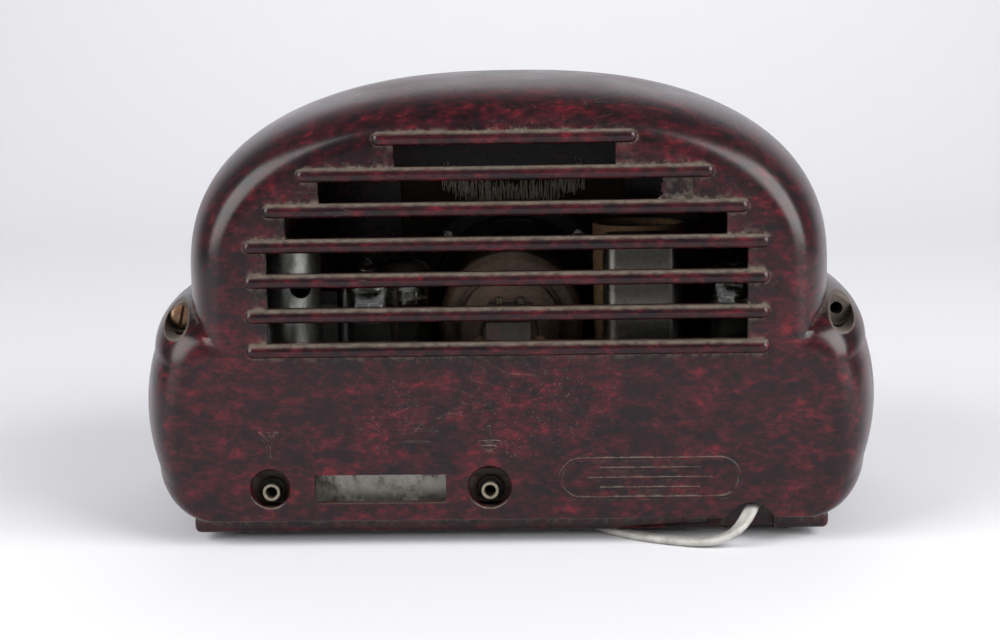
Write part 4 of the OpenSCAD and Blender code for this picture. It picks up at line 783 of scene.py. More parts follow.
def matt(name, dark, light, scale=90, rough=0.62, grain=0.3, dust=0.0, stretch=None,
         grime=(0.06, 0.05, 0.04)):
    """Board, card, paint or paper: two tones in clouds, fine grain and dirt in its corners."""
    f = Finish(name)
    cloud = f.noise(scale, 5, 0.65, stretch)
    fine = f.noise(scale * 8, 3, 0.6, stretch)
    colour = f.mix(f.step(cloud * 0.6 + fine * 0.4, 0.36, 0.64), dark, light)
    colour = f.mix(f.step(f.crevice(0.004), 0.3, 0.8) * 0.7, colour, grime)
    if dust:
        lying = f.step(f.facing_up(), 0.5, 0.95) * f.step(cloud, 0.3, 0.6) * dust
        colour = f.mix(lying, colour, (0.30, 0.26, 0.21))
    return f.surface(Base_Color=colour, Roughness=fine * 0.15 + rough, Normal=f.bump(fine, 0.0001, grain))


rust = worn_metal("rusty_screw", (0.30, 0.20, 0.13), (0.16, 0.075, 0.035), cover=0.75, rough=0.45, scale=160)
screw = screw_head(rust, (BOSS_X, RECESS_Y, BOSS_Z), 4.1, 2.6, slot=1.0, turn=-12,
                   shank=(SCREW_R, RECESS_Y + 18))
screw.name = "case_screw_turned"
stands_for(screw, "rusty_steel", "case_screw")

rubber = matt("aged_rubber", (0.012, 0.011, 0.011), (0.035, 0.032, 0.03), 140, 0.7, 0.5, dust=0.3)
feet = [turned("foot", rubber, (sx * FOOT_X, sy * FOOT_Y, 0),
               [(0, 0), (4.2, 0), (5, 1.2), (5, FOOT_H), (2, FOOT_H), (2, 7), (0, 7)], "Z", 0.5, 48)
        for sx in (-1, 1) for sy in (-1, 1)]
stands_for(joined("moulded_feet", *feet), "black_rubber", "rubber_feet")

# Chassis
# A tray of dull plated sheet steel on four posts carries the works. The aerial and earth leads plug
# into two tarnished tubes. Collars and nuts hold these in paper boards riveted to the rear flange.
DECK_TOP, CHASSIS_REAR = 33, HALF_D - 9
# The chassis steel is dark and heavily grimed, and its corner grime takes in the boards and parts close by:
# partly real grime, partly painted shade on the flange seen through the window.
steel = worn_metal("chassis_steel", (0.32, 0.305, 0.27), (0.06, 0.048, 0.036), cover=0.68, own=False)
dress(cad["chassis"], steel)
plated = worn_metal("plated_screws", (0.58, 0.56, 0.50), (0.14, 0.11, 0.08), cover=0.4, rough=0.3, scale=200)
screws = [screw_head(plated, (s * POST_X, y, DECK_TOP), 3.2, 2, "Z", 0.8, 30 + 50 * s + y, (1.2, 11))
          for s in (-1, 1) for y in POSTS_Y]
stands_for(joined("chassis_cheese_heads", *screws), "plated_screws", "chassis_screws")


def hoop(r0, r1, low, high):
    """The profile of a plain ring, or of a disc or rod where r0 is 0."""
    return [(r0, low), (r1, low), (r1, high), (r0, high)]


SOCKET_Z, TUBE_BORE, TUBE_R, TUBE_REAR, BOARD_FACE = 19, 2, 3, HALF_D - 2.5, CHASSIS_REAR + 1.5
tarnish = worn_metal("socket_metal", (0.30, 0.27, 0.205), (0.12, 0.092, 0.06),
                     cover=0.6, rough=0.36, scale=170)
# The collar is coloured near black: painted shade for the dark inside of the socket hole.
collar_painted_shade = worn_metal("socket_collar", (0.05, 0.043, 0.034), (0.022, 0.018, 0.014),
                          cover=0.95, rough=0.55, scale=170)
for x, node in ((AERIAL_X, "aerial_socket"), (EARTH_X, "earth_socket")):
    where = (x, 0, SOCKET_Z)
    tube = turned("tube", tarnish, where, hoop(TUBE_BORE, TUBE_R, 60, TUBE_REAR), "Y", 0.22, 56)
    collar = turned("collar", collar_painted_shade, where, hoop(TUBE_R, 4.4, BOARD_FACE, BOARD_FACE + 0.8),
                    "Y", 0.2, 56)
    nut = turned("nut", tarnish, where, hoop(TUBE_R, 4.6, 63.5, 66), "Y", 0.2, 6, 20)
    stands_for(joined(node + "_tube", tube, collar, nut), "socket_metal", node)
laminate = matt("paper_board", (0.018, 0.011, 0.008), (0.045, 0.026, 0.016), 120, 0.5, 0.25,
                stretch=(1, 1, 5))
RIVET = [(0, 68.2), (0.9, 68.1), (1.5, 67.5), (1.5, 67.4), (0, 67.4)]
boards, rivets = [], []
for x in (AERIAL_X, EARTH_X):
    board = block(laminate, (x - 11, CHASSIS_REAR, 14), (x + 11, BOARD_FACE, 26), 0.2)
    boards.append(combine(board, rod_tool(x, SOCKET_Z, 64, 70, TUBE_R + 0.05)))
    rivets += [turned("rivet", tarnish, (x + side * 8.4, 0, 23), RIVET, "Y", 0.15, 24) for side in (-1, 1)]
stands_for(joined("socket_strips", *boards, *rivets), "board", "socket_boards")

# Loudspeaker
# An energised loudspeaker hangs on four posts of the front: pressed basket, paper cone, and a
# heavy field pot in brown paint whose rounded back faces the viewer, with a tag strip on it.
SPEAKER_BACK, POT_FRONT, POT_BACK, POT_R = RIM_Y + 31, RIM_Y + 35, RIM_Y + 74, 27
dark_paint = matt("basket_paint", (0.018, 0.016, 0.015), (0.045, 0.038, 0.033), 80, 0.45, 0.2, dust=0.5)
dress(cad["speaker_frame"], dark_paint)
brown_paint = matt("pot_paint", (0.11, 0.068, 0.045), (0.19, 0.125, 0.085), 60, 0.42, 0.3, dust=0.85,
                   grime=(0.035, 0.025, 0.02))
plate = turned("front_plate", brown_paint, (0, 0, SPEAKER_Z), hoop(9, POT_R, SPEAKER_BACK, POT_FRONT),
               reach=0.5, sides=96)
stands_for(plate, "pot_paint", "magnet_plate")
pot = turned("pot", brown_paint, (0, 0, SPEAKER_Z), [
    (0, POT_FRONT - 3), (6.8, POT_FRONT - 3), (6.8, POT_BACK - 5), (24, POT_BACK - 5), (24, POT_FRONT),
    (POT_R, POT_FRONT), (POT_R, POT_BACK - 2.5), (POT_R - 2.5, POT_BACK), (19, POT_BACK),
    (18.6, POT_BACK + 4), (0, POT_BACK + 4)], reach=1.0, sides=96)
lip = turned("lip", brown_paint, (0, 0, SPEAKER_Z), hoop(17, 20.3, POT_BACK, POT_BACK + 1.1),
             reach=0.5, sides=96)
stands_for(joined("field_pot", pot, lip), "pot_paint", "magnet_pot")

wound = Finish("varnished_winding")
lay = wound.bands("Z", 420, 0.6)
winding = wound.surface(
    Base_Color=wound.mix(lay * 0.6 + wound.noise(90, 4) * 0.4, (0.16, 0.075, 0.025), (0.34, 0.18, 0.07)),
    Roughness=wound.noise(300) * 0.2 + 0.32, Normal=wound.bump(lay, 0.0001, 0.6))
dress(cad["field_coil"], winding)

screws = [screw_head(plated, (x, RIM_Y + 1, z), 2.4, 1.6, "Y", 0.7, 35 + 60 * i, (1.2, 5))
          for i, (x, z) in enumerate(speaker_posts)]
stands_for(joined("speaker_cheese_heads", *screws), "plated_screws", "speaker_screws")

STRIP_Y, LEAD_X = POT_BACK + 4, 4
dull_tag = worn_metal("dull_tags", (0.16, 0.13, 0.09), (0.05, 0.038, 0.026), cover=0.6, rough=0.45, scale=200)
board = block(laminate, (-8, STRIP_Y, SPEAKER_Z - 2), (8, STRIP_Y + 1.5, SPEAKER_Z + 9), 0.25)
tags = []
for side in (-1, 1):
    x = side * LEAD_X
    tag = block(dull_tag, (x - 1, STRIP_Y, SPEAKER_Z + 5), (x + 1, STRIP_Y + 3, SPEAKER_Z + 11), 0.3)
    solder = turned("solder", dull_tag, (x, STRIP_Y + 2.4, SPEAKER_Z + 7.6),
                    [(0, -1.5), (1.0, -1.0), (1.35, 0), (0.9, 1.1), (0, 1.5)], "Z", 0.3, 24)
    tags += [tag, solder]
stands_for(joined("speaker_strip", board, *tags), "board", "speaker_tag_strip")


def circle(r, sides):
    """A round section in millimetres."""
    return [(r * math.cos(a) / 1000, r * math.sin(a) / 1000)
            for a in (2 * math.pi * i / sides for i in range(sides))]


def wire(material, line, r, sides=12, name="wire"):
    """A round wire through points given in millimetres."""
    bm = bmesh.new()
    swept(bm, finer([at(*p) for p in line], 4), circle(r, sides), Vector((0.85, 0.3, 0.43)))
    return piece_from(bm, name, material)


LEAD_ROUTE = ((0, 0, 8), (0, 0.12, 8), (0.34, 0.3, 6.8), (0.7, 0.46, 4.6), (0.93, 0.6, 1.8),
              (1, 0.75, -1), (1, 0.9, -2.8), (1, 1, -3.1))
lead_y0, lead_y1, lead_out = POT_BACK + 7.05, 28.65, 10.6
lead_rubber = matt("lead_rubber", (0.02, 0.015, 0.012), (0.07, 0.045, 0.03), 260, 0.6, 0.5)
leads = []
for side in (-1, 1):
    line = [(side * (LEAD_X + a * (lead_out - LEAD_X)), lead_y0 + b * (lead_y1 - lead_y0), SPEAKER_Z + c)
            for a, b, c in LEAD_ROUTE]
    leads.append(wire(lead_rubber, line, 0.7))
stands_for(joined("rubber_leads", *leads), "lead_cover", "speaker_leads")

paper = Finish("cone_paper")
fibre = paper.noise(900, 4, 0.7)
cone_paper = paper.surface(
    Base_Color=paper.mix(fibre, (0.03, 0.026, 0.023), (0.10, 0.085, 0.07)), Roughness=fibre * 0.1 + 0.8,
    Normal=paper.bump(fibre, 0.0001, 0.5))
dress(cad["speaker_cone"], cone_paper)

# Cloth
# Coarse plain-woven cloth is stretched over the four posts behind the front grille. The threads
# of its cut top have frayed into a loose, dusty fringe; its near-white colour is partly painted light.
CLOTH_Y, CLOTH_HALF, CLOTH_LOW, CLOTH_TOP = -70.85, 46, 27.5, 116
woven = Finish("speaker_cloth")
thread = woven.bands("X", 380, 0.5, 3).math("MAXIMUM", woven.bands("Z", 380, 0.5, 3))
worn_thread = woven.ramp(woven.noise(45, 5, 0.7), (0.35, (0.055, 0.042, 0.03)), (0.65, (0.13, 0.10, 0.07)))
cloth_finish = woven.surface(
    Base_Color=woven.mix(thread, (0.016, 0.012, 0.009), worn_thread), Roughness=woven.noise(300) * 0.1 + 0.82,
    Sheen_Weight=0.25, Normal=woven.bump(thread, 0.0002, 0.7))
bm = bmesh.new()
bmesh.ops.create_grid(bm, x_segments=46, y_segments=42, size=0.5)
for v in bm.verts:
    x, rise = 2 * v.co.x * CLOTH_HALF, v.co.y + 0.5
    top = CLOTH_TOP + 1.2 * noise.noise(Vector((x * 0.21, 3.1, 0)))
    z = CLOTH_LOW + rise * (top - CLOTH_LOW)
    v.co = at(x, CLOTH_Y + 0.12 * noise.noise(Vector((x * 0.06, z * 0.06, 1.7))), z)
bmesh.ops.recalc_face_normals(bm, faces=bm.faces)
cloth = piece_from(bm, "speaker_cloth_sheet", cloth_finish)
thick = cloth.modifiers.new("thickness", "SOLIDIFY")
thick.thickness, thick.offset = 0.0003, 0
stands_for(cloth, "cloth", "speaker_cloth")

# The fringe is coloured near white, paler than its threads are: partly their own pale tone, partly painted
# light for the dim inside of the case.
frayed = Finish("frayed_threads")
tone = frayed.noise(400, 3, 0.6)
pale = frayed.ramp(tone, (0.35, (0.80, 0.72, 0.56)), (0.60, (1.0, 0.95, 0.83)))
frayed_finish = frayed.surface(Base_Color=pale, Roughness=tone * 0.1 + 0.85)
STRANDS, FRINGE_HALF, STRAND_STEPS = 190, 29, 6
random.seed(31)
fringe = bmesh.new()
for i in range(STRANDS):
    x = -FRINGE_HALF + 2 * FRINGE_HALF * i / (STRANDS - 1) + random.uniform(-0.3, 0.3)
    foot = 103.5 + random.uniform(0, 2.5) + 0.012 * x * x * random.uniform(0.3, 1)
    tall = random.uniform(6.5, 8.5) + (random.uniform(1.0, 2.2) if random.random() < 0.3 else 0)
    lean, bow = random.uniform(-0.9, 0.9), random.uniform(-0.5, 0.5)
    strand = [at(x, CLOTH_Y, foot)]
    for k in range(1, STRAND_STEPS + 1):
        t = k / STRAND_STEPS
        strand.append(at(x + lean * t + bow * math.sin(3 * t),
                         CLOTH_Y + 0.35 + 0.9 * t * random.uniform(0.2, 1.2), foot + tall * t))
    swept(fringe, strand, circle(0.16, 5), Vector((0.9, 0.4, 0.1)))
threads = piece_from(fringe, "frayed_threads", frayed_finish)
stands_for(threads, "cloth")

# Transformer
# The output transformer stands on the deck behind the loudspeaker: a stack of thin varnished
# iron plates round a winding that is wrapped in waxed paper.
iron = Finish("laminations")
stack = iron.bands("X", 640, 0.2)
scale_rust = iron.noise(110, 5, 0.7)
plate_edges = iron.mix(stack, (0.016, 0.014, 0.013), (0.06, 0.055, 0.05))
core_iron = iron.surface(
    Base_Color=iron.mix(iron.step(scale_rust, 0.48, 0.66) * 0.8, plate_edges, (0.10, 0.05, 0.028)),
    Metallic=0.35, Roughness=scale_rust * 0.3 + 0.35, Normal=iron.bump(stack, 0.0002, 0.7))
core = block(core_iron, (-8, 24, DECK_TOP), (8, 52, 74), 0.4)
combine(core, *[box_tool((-9, y - 2.25, DECK_TOP + 8), (9, y + 2.25, 66)) for y in (30.75, 45.25)])
core.name = "core_plates"
stands_for(core, "core_iron", "transformer_core")
waxed = matt("waxed_wrap", (0.17, 0.095, 0.04), (0.36, 0.24, 0.12), 70, 0.4, 0.35,
             dust=0.4, stretch=(1, 1, 3))
wrap = block(waxed, (-13, 28.7, 41.2), (13, 47.3, 65.8), 2.2, 6)
combine(wrap, box_tool((-8.2, 32.8, 40), (8.2, 43.2, 67)))
wrap.name = "paper_wrapped_winding"
stands_for(wrap, "winding", "transformer_winding")

# Valves
# Four valves stand in sockets of paper board: clear bulbs that draw in to a sealed tip, with
# grey-black anodes between mica discs inside and a brownish getter film in the dome.
VALVES = {"mixer_valve": (50.3, 35), "if_valve": (-80, 30),
          "output_valve": (-80, -1), "rectifier_valve": (40, 4)}
BULB_R, GLASS_T, BULB_FOOT, BULB_TOP, DOME_TOP_R, DOME_RISE = 11, 0.8, 34.5, 95, 3, 6
BULB_SHOULDER, ANODE_TOP = BULB_TOP - 10, 74.5


def dome_line(shrink, degrees):
    """The round of a bulb's dome, less a skin."""
    return [(DOME_TOP_R + (BULB_R - shrink - DOME_TOP_R) * math.cos(math.radians(a)),
             BULB_SHOULDER - shrink + DOME_RISE * math.sin(math.radians(a))) for a in degrees]


bulb_glass = Finish("valve_glass")
hazy = bulb_glass.noise(60, 4, 0.6)
bulb_glass = bulb_glass.surface(
    Base_Color=bulb_glass.mix(hazy, (0.60, 0.61, 0.58), (0.80, 0.81, 0.78)), Roughness=hazy * 0.12,
    IOR=1.46, Transmission_Weight=1.0)
flash = Finish("getter_film")
thinning = flash.step(flash.noise(80, 4, 0.6) * 0.4 + flash.facing_up() * 0.9, 0.22, 0.75)
flash = flash.surface(
    Base_Color=flash.mix(thinning, (0.20, 0.135, 0.088), (0.34, 0.285, 0.225)), Metallic=0.75,
    Roughness=0.34, Alpha=thinning * 0.92)
for node, (x, y) in VALVES.items():
    inside = [(0, BULB_SHOULDER + DOME_RISE - 0.2)] + dome_line(GLASS_T, range(78, -1, -6))
    inside.append((BULB_R - GLASS_T, BULB_FOOT))
    outside = [(BULB_R, BULB_FOOT)] + dome_line(0, range(0, 79, 6))
    outside += [(2, BULB_TOP - 3), (0.9, BULB_TOP), (0, BULB_TOP)]
    bulb = turned(node + "_bulb", bulb_glass, (x, y, 0), inside + outside, "Z", 0.35, 72, 60)
    skin = dome_line(GLASS_T + 0.16, range(84, 5, -6)) + dome_line(GLASS_T + 0.1, range(6, 85, 6))
    film = turned(node + "_getter", flash, (x, y, 0), skin, "Z", 0.01, 48, 60)
    stands_for(joined(node + "_glass", bulb, film), "valve_glass", node)

QUARTERS = [math.radians(45 + 90 * i) for i in range(4)]
socket_board = matt("valve_socket_board", (0.05, 0.028, 0.017), (0.10, 0.055, 0.03), 150, 0.48, 0.25,
                    dust=0.3)
seats = [turned("seat", socket_board, (x, y, 0),
                [(0, 28), (8.85, 28), (8.85, DECK_TOP), (10.8, DECK_TOP), (10.8, 34.5), (0, 34.5)], "Z", 0.35)
         for x, y in VALVES.values()]
lugs = []
for x, y in VALVES.values():
    for a in QUARTERS:
        lug_x, lug_y = x + 5.6 * math.cos(a), y + 5.6 * math.sin(a)
        lugs.append(block(tarnish, (lug_x - 0.9, lug_y - 0.25, 23.8),
                          (lug_x + 0.9, lug_y + 0.25, 28.4), 0.12))
stands_for(joined("valve_seats", *seats, *lugs), "board", "valve_sockets")

carbon = matt("carbonised_anode", (0.018, 0.018, 0.019), (0.05, 0.05, 0.05), 240, 0.6, 0.4)
nickel = worn_metal("electrode_nickel", (0.50, 0.48, 0.44), (0.16, 0.14, 0.12),
                    cover=0.3, rough=0.3, scale=200)
mica = matt("mica", (0.30, 0.24, 0.15), (0.50, 0.43, 0.30), 200, 0.25, 0.15)
stem = Finish("stem_glass")
stem = stem.surface(
    Base_Color=stem.ramp(stem.noise(200, 3), (0.3, (0.10, 0.12, 0.12)), (0.7, (0.22, 0.25, 0.25))),
    Roughness=0.08, Coat_Weight=0.6)
STEM = [(0, BULB_FOOT), (9.4, BULB_FOOT), (9.2, 36.6), (5, 37.8), (3.2, 40.2), (0, 40.2)]
ANODE_R, ROD_FOOT = 5.5, 35.5
stacks = []
for x, y in VALVES.values():
    foot = (x, y, 0)
    stacks.append(turned("stem", stem, foot, STEM, "Z", 0.8, 40))
    for z in (40.5, 76.5):
        stacks.append(turned("disc", mica, foot, hoop(0, 8.6, z, z + 0.6), "Z", 0.1, 40))
    ribs = [(0, 42.5), (ANODE_R, 42.5)]
    for z in (48, 54, 60, 66):
        ribs += [(ANODE_R, z - 0.8), (ANODE_R - 0.4, z), (ANODE_R, z + 0.8)]
    ribs += [(ANODE_R, ANODE_TOP), (0, ANODE_TOP)]
    stacks.append(turned("anode", carbon, foot, ribs, "Z", 0.4, 40))
    for side in (-1, 1):
        stacks.append(block(carbon, (x + side * 5.2, y - 0.3, 43), (x + side * 7.6, y + 0.3, 74), 0.1))
    for a in (math.radians(90 * i) for i in range(4)):
        rod_at = (x + 4.6 * math.cos(a), y + 4.6 * math.sin(a), 0)
        stacks.append(turned("rod", nickel, rod_at, hoop(0, 0.6, ROD_FOOT, 78.5), "Z", 0.1, 12))
    stacks.append(turned("middle", nickel, foot, hoop(0, 0.8, ROD_FOOT, 79.5), "Z", 0.1, 16))
    stacks.append(turned("getter_ring", nickel, foot, hoop(2.6, 4, 79.1, 79.7), "Z", 0.12, 32))
    stacks.append(block(nickel, (x - 3, y - 0.3, 79.2), (x + 3, y + 0.3, 79.5), 0.08))
stands_for(joined("electrode_stacks", *stacks), "electrode_metal", "valve_electrodes")

# Cans
# The tuned coils hide in two drawn aluminium cans, one square and one round, each with a hole
# for the trimming tool. A cardboard capacitor, sealed with pitch, stands beside the loudspeaker.
# Both cans take a dark metal tone, the square one darker still, as painted shade for the dim inside of the
# case; their cloudy grime is real.
aluminium = worn_metal("drawn_aluminium", (0.26, 0.26, 0.245), (0.09, 0.083, 0.07),
                       cover=0.32, rough=0.24, scale=55)
shade_darkened = worn_metal("shade_darkened_aluminium", (0.165, 0.158, 0.14), (0.07, 0.06, 0.05),
                      cover=0.45, rough=0.24, scale=70)
SQUARE_X, SQUARE_Y, SQUARE_HALF, CAN_TOP, SHEET = -47.4, 31, 13.5, 102, 0.8
can = box_tool((SQUARE_X - SQUARE_HALF, SQUARE_Y - SQUARE_HALF, DECK_TOP),
               (SQUARE_X + SQUARE_HALF, SQUARE_Y + SQUARE_HALF, CAN_TOP))
bm = bmesh.new()
bm.from_mesh(can.data)
upright = [e for e in bm.edges if abs(e.verts[0].co.z - e.verts[1].co.z) > 0.01]
round_off(bm, upright, 5, 10)
crown = [e for e in bm.edges if min(v.co.z for v in e.verts) > CAN_TOP / 1000 - 1e-5]
round_off(bm, crown, 1.8, 5)
bpy.data.objects.remove(can)
can = piece_from(bm, "square_can_drawn")
inner = SQUARE_HALF - SHEET
combine(can, box_tool((SQUARE_X - inner, SQUARE_Y - inner, DECK_TOP - 1),
                      (SQUARE_X + inner, SQUARE_Y + inner, CAN_TOP - SHEET), 3),
        post_tool(SQUARE_X, SQUARE_Y, CAN_TOP - 3, CAN_TOP + 1, 3))
shade(can.data, 35)
stands_for(dress(can, shade_darkened), "can_aluminium", "square_can")

ROUND_X, ROUND_Y, HOLE_TURN = 78.7, 38, math.radians(32)
can = turned("round_can_drawn", aluminium, (ROUND_X, ROUND_Y, 0), [
    (0, CAN_TOP - SHEET), (11.2, CAN_TOP - SHEET), (11.2, DECK_TOP), (14.5, DECK_TOP), (14.5, DECK_TOP + 1),
    (12, DECK_TOP + 1), (12, CAN_TOP), (0, CAN_TOP)], "Z", 0.9, 96)
bm = bmesh.new()
bmesh.ops.create_cone(bm, cap_ends=True, segments=48, radius1=0.0042, radius2=0.0042, depth=0.02)
way = Matrix.Rotation(HOLE_TURN, 3, "Z") @ Matrix.Rotation(math.pi / 2, 3, "X")
bmesh.ops.rotate(bm, verts=bm.verts, matrix=way)
reach = Vector((-math.sin(HOLE_TURN), math.cos(HOLE_TURN), 0)) * 0.012
bmesh.ops.translate(bm, verts=bm.verts, vec=at(ROUND_X, ROUND_Y, CAN_TOP - 15) + reach)
combine(can, piece_from(bm, "side_hole"))
shade(can.data, 35)
stands_for(dress(can, aluminium), "can_aluminium", "round_can")

formers = []
for (x, y), top in (((SQUARE_X, SQUARE_Y), 91.65), ((ROUND_X, ROUND_Y), 79.92)):
    tall = top - DECK_TOP
    formers.append(turned("former", laminate, (x, y, 0), hoop(0, 4, DECK_TOP, top), "Z", 0.3, 40))
    for share in (0.2, 0.55):
        low, high = DECK_TOP + share * tall, DECK_TOP + (share + 0.15) * tall
        formers.append(turned("honeycomb_coil", winding, (x, y, 0), hoop(4, 7.5, low, high), "Z", 0.8, 48))
stands_for(joined("coils_on_formers", *formers), "winding", "can_coils")

card = matt("rolled_card", (0.16, 0.085, 0.04), (0.30, 0.18, 0.09), 60, 0.68, 0.5,
            dust=0.5, stretch=(1, 1, 4))
pitch = matt("sealing_pitch", (0.012, 0.009, 0.008), (0.04, 0.03, 0.025), 120, 0.35, 0.6, dust=0.7)
CARD_AT, CARD_BORE, CARD_R, CARD_TOP = (-48, -4, 0), 15.5, 17, 103
tube = turned("tube", card, CARD_AT, hoop(CARD_BORE, CARD_R, DECK_TOP, CARD_TOP), "Z", 0.4, 80)
seal = turned("seal", pitch, CARD_AT, [
    (0, DECK_TOP + 0.2), (CARD_BORE, DECK_TOP + 0.2), (CARD_BORE, CARD_TOP - 2.1), (13.5, CARD_TOP - 2.6),
    (0, CARD_TOP - 2.4)], "Z", 0.6, 60)
stands_for(joined("card_capacitor", tube, seal), "cardboard", "cardboard_capacitor")

# Strung parts
# Under the deck the small parts hang by their wires between two strips of paper board:
# waxed paper capacitors, painted resistors, and a wire-wound ballast resistor on ceramic.
STRIPS_Y, STRIP_HALF, STRIP_LOW, STRIP_REACH, PART_Z, LEAD_R = (15, 46), 0.75, 21, 60, 26, 0.45
PARTS = [(x, 22, 4.5) for x in (-52, -40, -28)] + [(-17 + 8 * i, 14, 2.2) for i in range(6)] + [(32, 24, 5)]
strips = []
for y in STRIPS_Y:
    strips.append(block(laminate, (-STRIP_REACH, y - STRIP_HALF, STRIP_LOW),
                        (STRIP_REACH, y + STRIP_HALF, DECK_TOP - 1), 0.2))
    side = 1 if y == STRIPS_Y[1] else -1
    eyelet = [(0, y + side * 0.7), (1.5, y + side * 0.7), (1.3, y + side * 1.25), (0, y + side * 1.4)]
    strips += [turned("eyelet", tarnish, (x, 0, PART_Z), eyelet, "Y", 0.15, 20) for x, _, _ in PARTS]
stands_for(joined("tag_strips_riveted", *strips), "board", "tag_strips")

tinned = worn_metal("tinned_wire", (0.55, 0.53, 0.49), (0.2, 0.18, 0.15), cover=0.4, rough=0.35, scale=300)
wax_paper = matt("waxed_paper", (0.28, 0.19, 0.08), (0.52, 0.40, 0.22), 90, 0.38, 0.3, dust=0.3)
wound_wire = matt("wound_ceramic", (0.30, 0.28, 0.24), (0.55, 0.52, 0.46), 200, 0.5, 0.5)
painted = [matt("resistor_paint_" + tone, dark, light, 200, 0.36, 0.2) for tone, dark, light in (
    ("brown", (0.10, 0.05, 0.03), (0.17, 0.09, 0.05)), ("green", (0.03, 0.07, 0.05), (0.06, 0.12, 0.08)),
    ("red", (0.20, 0.03, 0.02), (0.32, 0.06, 0.04)))]
band_paint = matt("resistor_band", (0.45, 0.30, 0.06), (0.60, 0.42, 0.10), 200, 0.4, 0.2)


def strung_part(x, length, shape, material):
    """A part on its two wires; the shape is one end of it, and the other end mirrors that."""
    middle, y0, y1 = sum(STRIPS_Y) / 2, STRIPS_Y[0] + STRIP_HALF, STRIPS_Y[1] - STRIP_HALF
    body = [(r, middle - length / 2 + along) for r, along in shape]
    body += [(r, middle + length / 2 - along) for r, along in reversed(shape)]
    body = [(0, body[0][1])] + body + [(0, body[-1][1])]
    lead = turned("lead", tinned, (x, 0, PART_Z), hoop(0, LEAD_R, y0, y1), "Y", 0.05, 12)
    return [lead, turned("part", material, (x, 0, PART_Z), body, "Y", 0.3, 32)]


made = []
for x, length, r in PARTS[:3]:
    made += strung_part(x, length, [(2.4, 0), (r - 0.3, 0.5), (r, 1.6), (r, 3)], wax_paper)
stands_for(joined("paper_capacitors_strung", *made), "waxed_paper", "paper_capacitors")
made = []
for i, (x, length, r) in enumerate(PARTS[3:9]):
    made += strung_part(x, length, [(1.6, 0), (r, 0.4), (r, 2.6), (r - 0.25, 3)], painted[i % 3])
    made.append(turned("band", band_paint, (x, 0, PART_Z), hoop(r - 0.4, r, 28.4, 30), "Y", 0.05, 32))
stands_for(joined("resistors_strung", *made), "resistor_paint", "resistors")
x, length, r = PARTS[9]
turns = [(2.5, 0), (r, 0.4), (r, 2.5)]
for i in range(6):
    turns += [(r - 0.35, 2.9 + 1.4 * i), (r - 0.05, 3.6 + 1.4 * i)]
ballast = strung_part(x, length, turns, wound_wire)
stands_for(joined("ballast_strung", *ballast), "ceramic", "ballast_resistor")

# Tuning capacitor
# Plates on a shaft turn between fixed ones in a frame, all in the same dull pale metal.
# The grooved drum on the shaft is pulled round by a cord from the tuning spindle.
# The plates' corner grime takes in the other plates between them as well: painted shade between parts.
plate_metal = worn_metal("gang_plates", (0.62, 0.62, 0.60), (0.25, 0.23, 0.20),
                         cover=0.25, rough=0.3, scale=120, own=False)
for node in ("gang_frame", "gang_stator", "gang_rotor"):
    dress(cad[node], plate_metal)
drum_metal = worn_metal("drum_metal", (0.52, 0.47, 0.36), (0.20, 0.16, 0.10),
                        cover=0.45, rough=0.36, scale=100)
DRIVE_Y, SPINDLE_R, SPINDLE_BORE = 14.5 - HALF_D, 3, 3.05
DRUM_R, DRUM_RIM, DRUM_HUB, DRUM_Z = 17.7, 19.3, 6, 52
SPINDLE_WRAP, DRUM_WRAP = SPINDLE_R + 0.75, DRUM_R + 0.55
DRUM_X = CONTROL_X + SPINDLE_WRAP - DRUM_WRAP
drum = turned("drum_turned", drum_metal, (DRUM_X, 0, DRUM_Z), [
    (SPINDLE_BORE, DRIVE_Y - 2.5), (DRUM_RIM, DRIVE_Y - 2.5), (DRUM_RIM, DRIVE_Y - 1.2),
    (17.5, DRIVE_Y - 1.2), (17.5, DRIVE_Y + 1.2), (DRUM_RIM, DRIVE_Y + 1.2), (DRUM_RIM, DRIVE_Y + 2),
    (DRUM_HUB, DRIVE_Y + 2),
    (DRUM_HUB, DRIVE_Y + DRUM_HUB), (SPINDLE_BORE, DRIVE_Y + DRUM_HUB)], "Y", 0.3, 96)
holes = [rod_tool(DRUM_X + 11 * math.sin(a), DRUM_Z + 11 * math.cos(a), DRIVE_Y - 5, DRIVE_Y + 5, 3.6)
         for a in QUARTERS]
combine(drum, *holes)
shade(drum.data, 35)
stands_for(dress(drum, drum_metal), "drum_metal", "drive_drum", body="rotor")

string = Finish("drive_string")
ply = string.noise(900, 2, 0.5)
string = string.surface(
    Base_Color=string.mix(ply, (0.28, 0.22, 0.14), (0.52, 0.45, 0.32)), Roughness=ply * 0.1 + 0.8,
    Normal=string.bump(ply, 0.0001, 0.6))
dress(cad["drive_cord"], string)
brass = worn_metal("yellow_brass", (0.62, 0.47, 0.22), (0.20, 0.13, 0.06), cover=0.4, rough=0.3, scale=150)
GUIDE_X, CORNER_X = -44, DRUM_X - DRUM_WRAP - SPINDLE_WRAP
CORNER_Z, CHASSIS_FRONT = CONTROL_Z + 2 * SPINDLE_WRAP, 17 - HALF_D
GUIDE = [(0, DRIVE_Y - 2), (3, DRIVE_Y - 2), (3, DRIVE_Y - 0.7), (2.8, DRIVE_Y), (3, DRIVE_Y + 0.7),
         (3, CHASSIS_FRONT), (0, CHASSIS_FRONT)]
guides = [turned("guide", brass, (x, 0, z), GUIDE, "Y", 0.2, 40)
          for x, z in ((GUIDE_X, CONTROL_Z), (CORNER_X, CORNER_Z))]
stands_for(joined("guides_turned", *guides), "yellow_brass", "cord_guides")

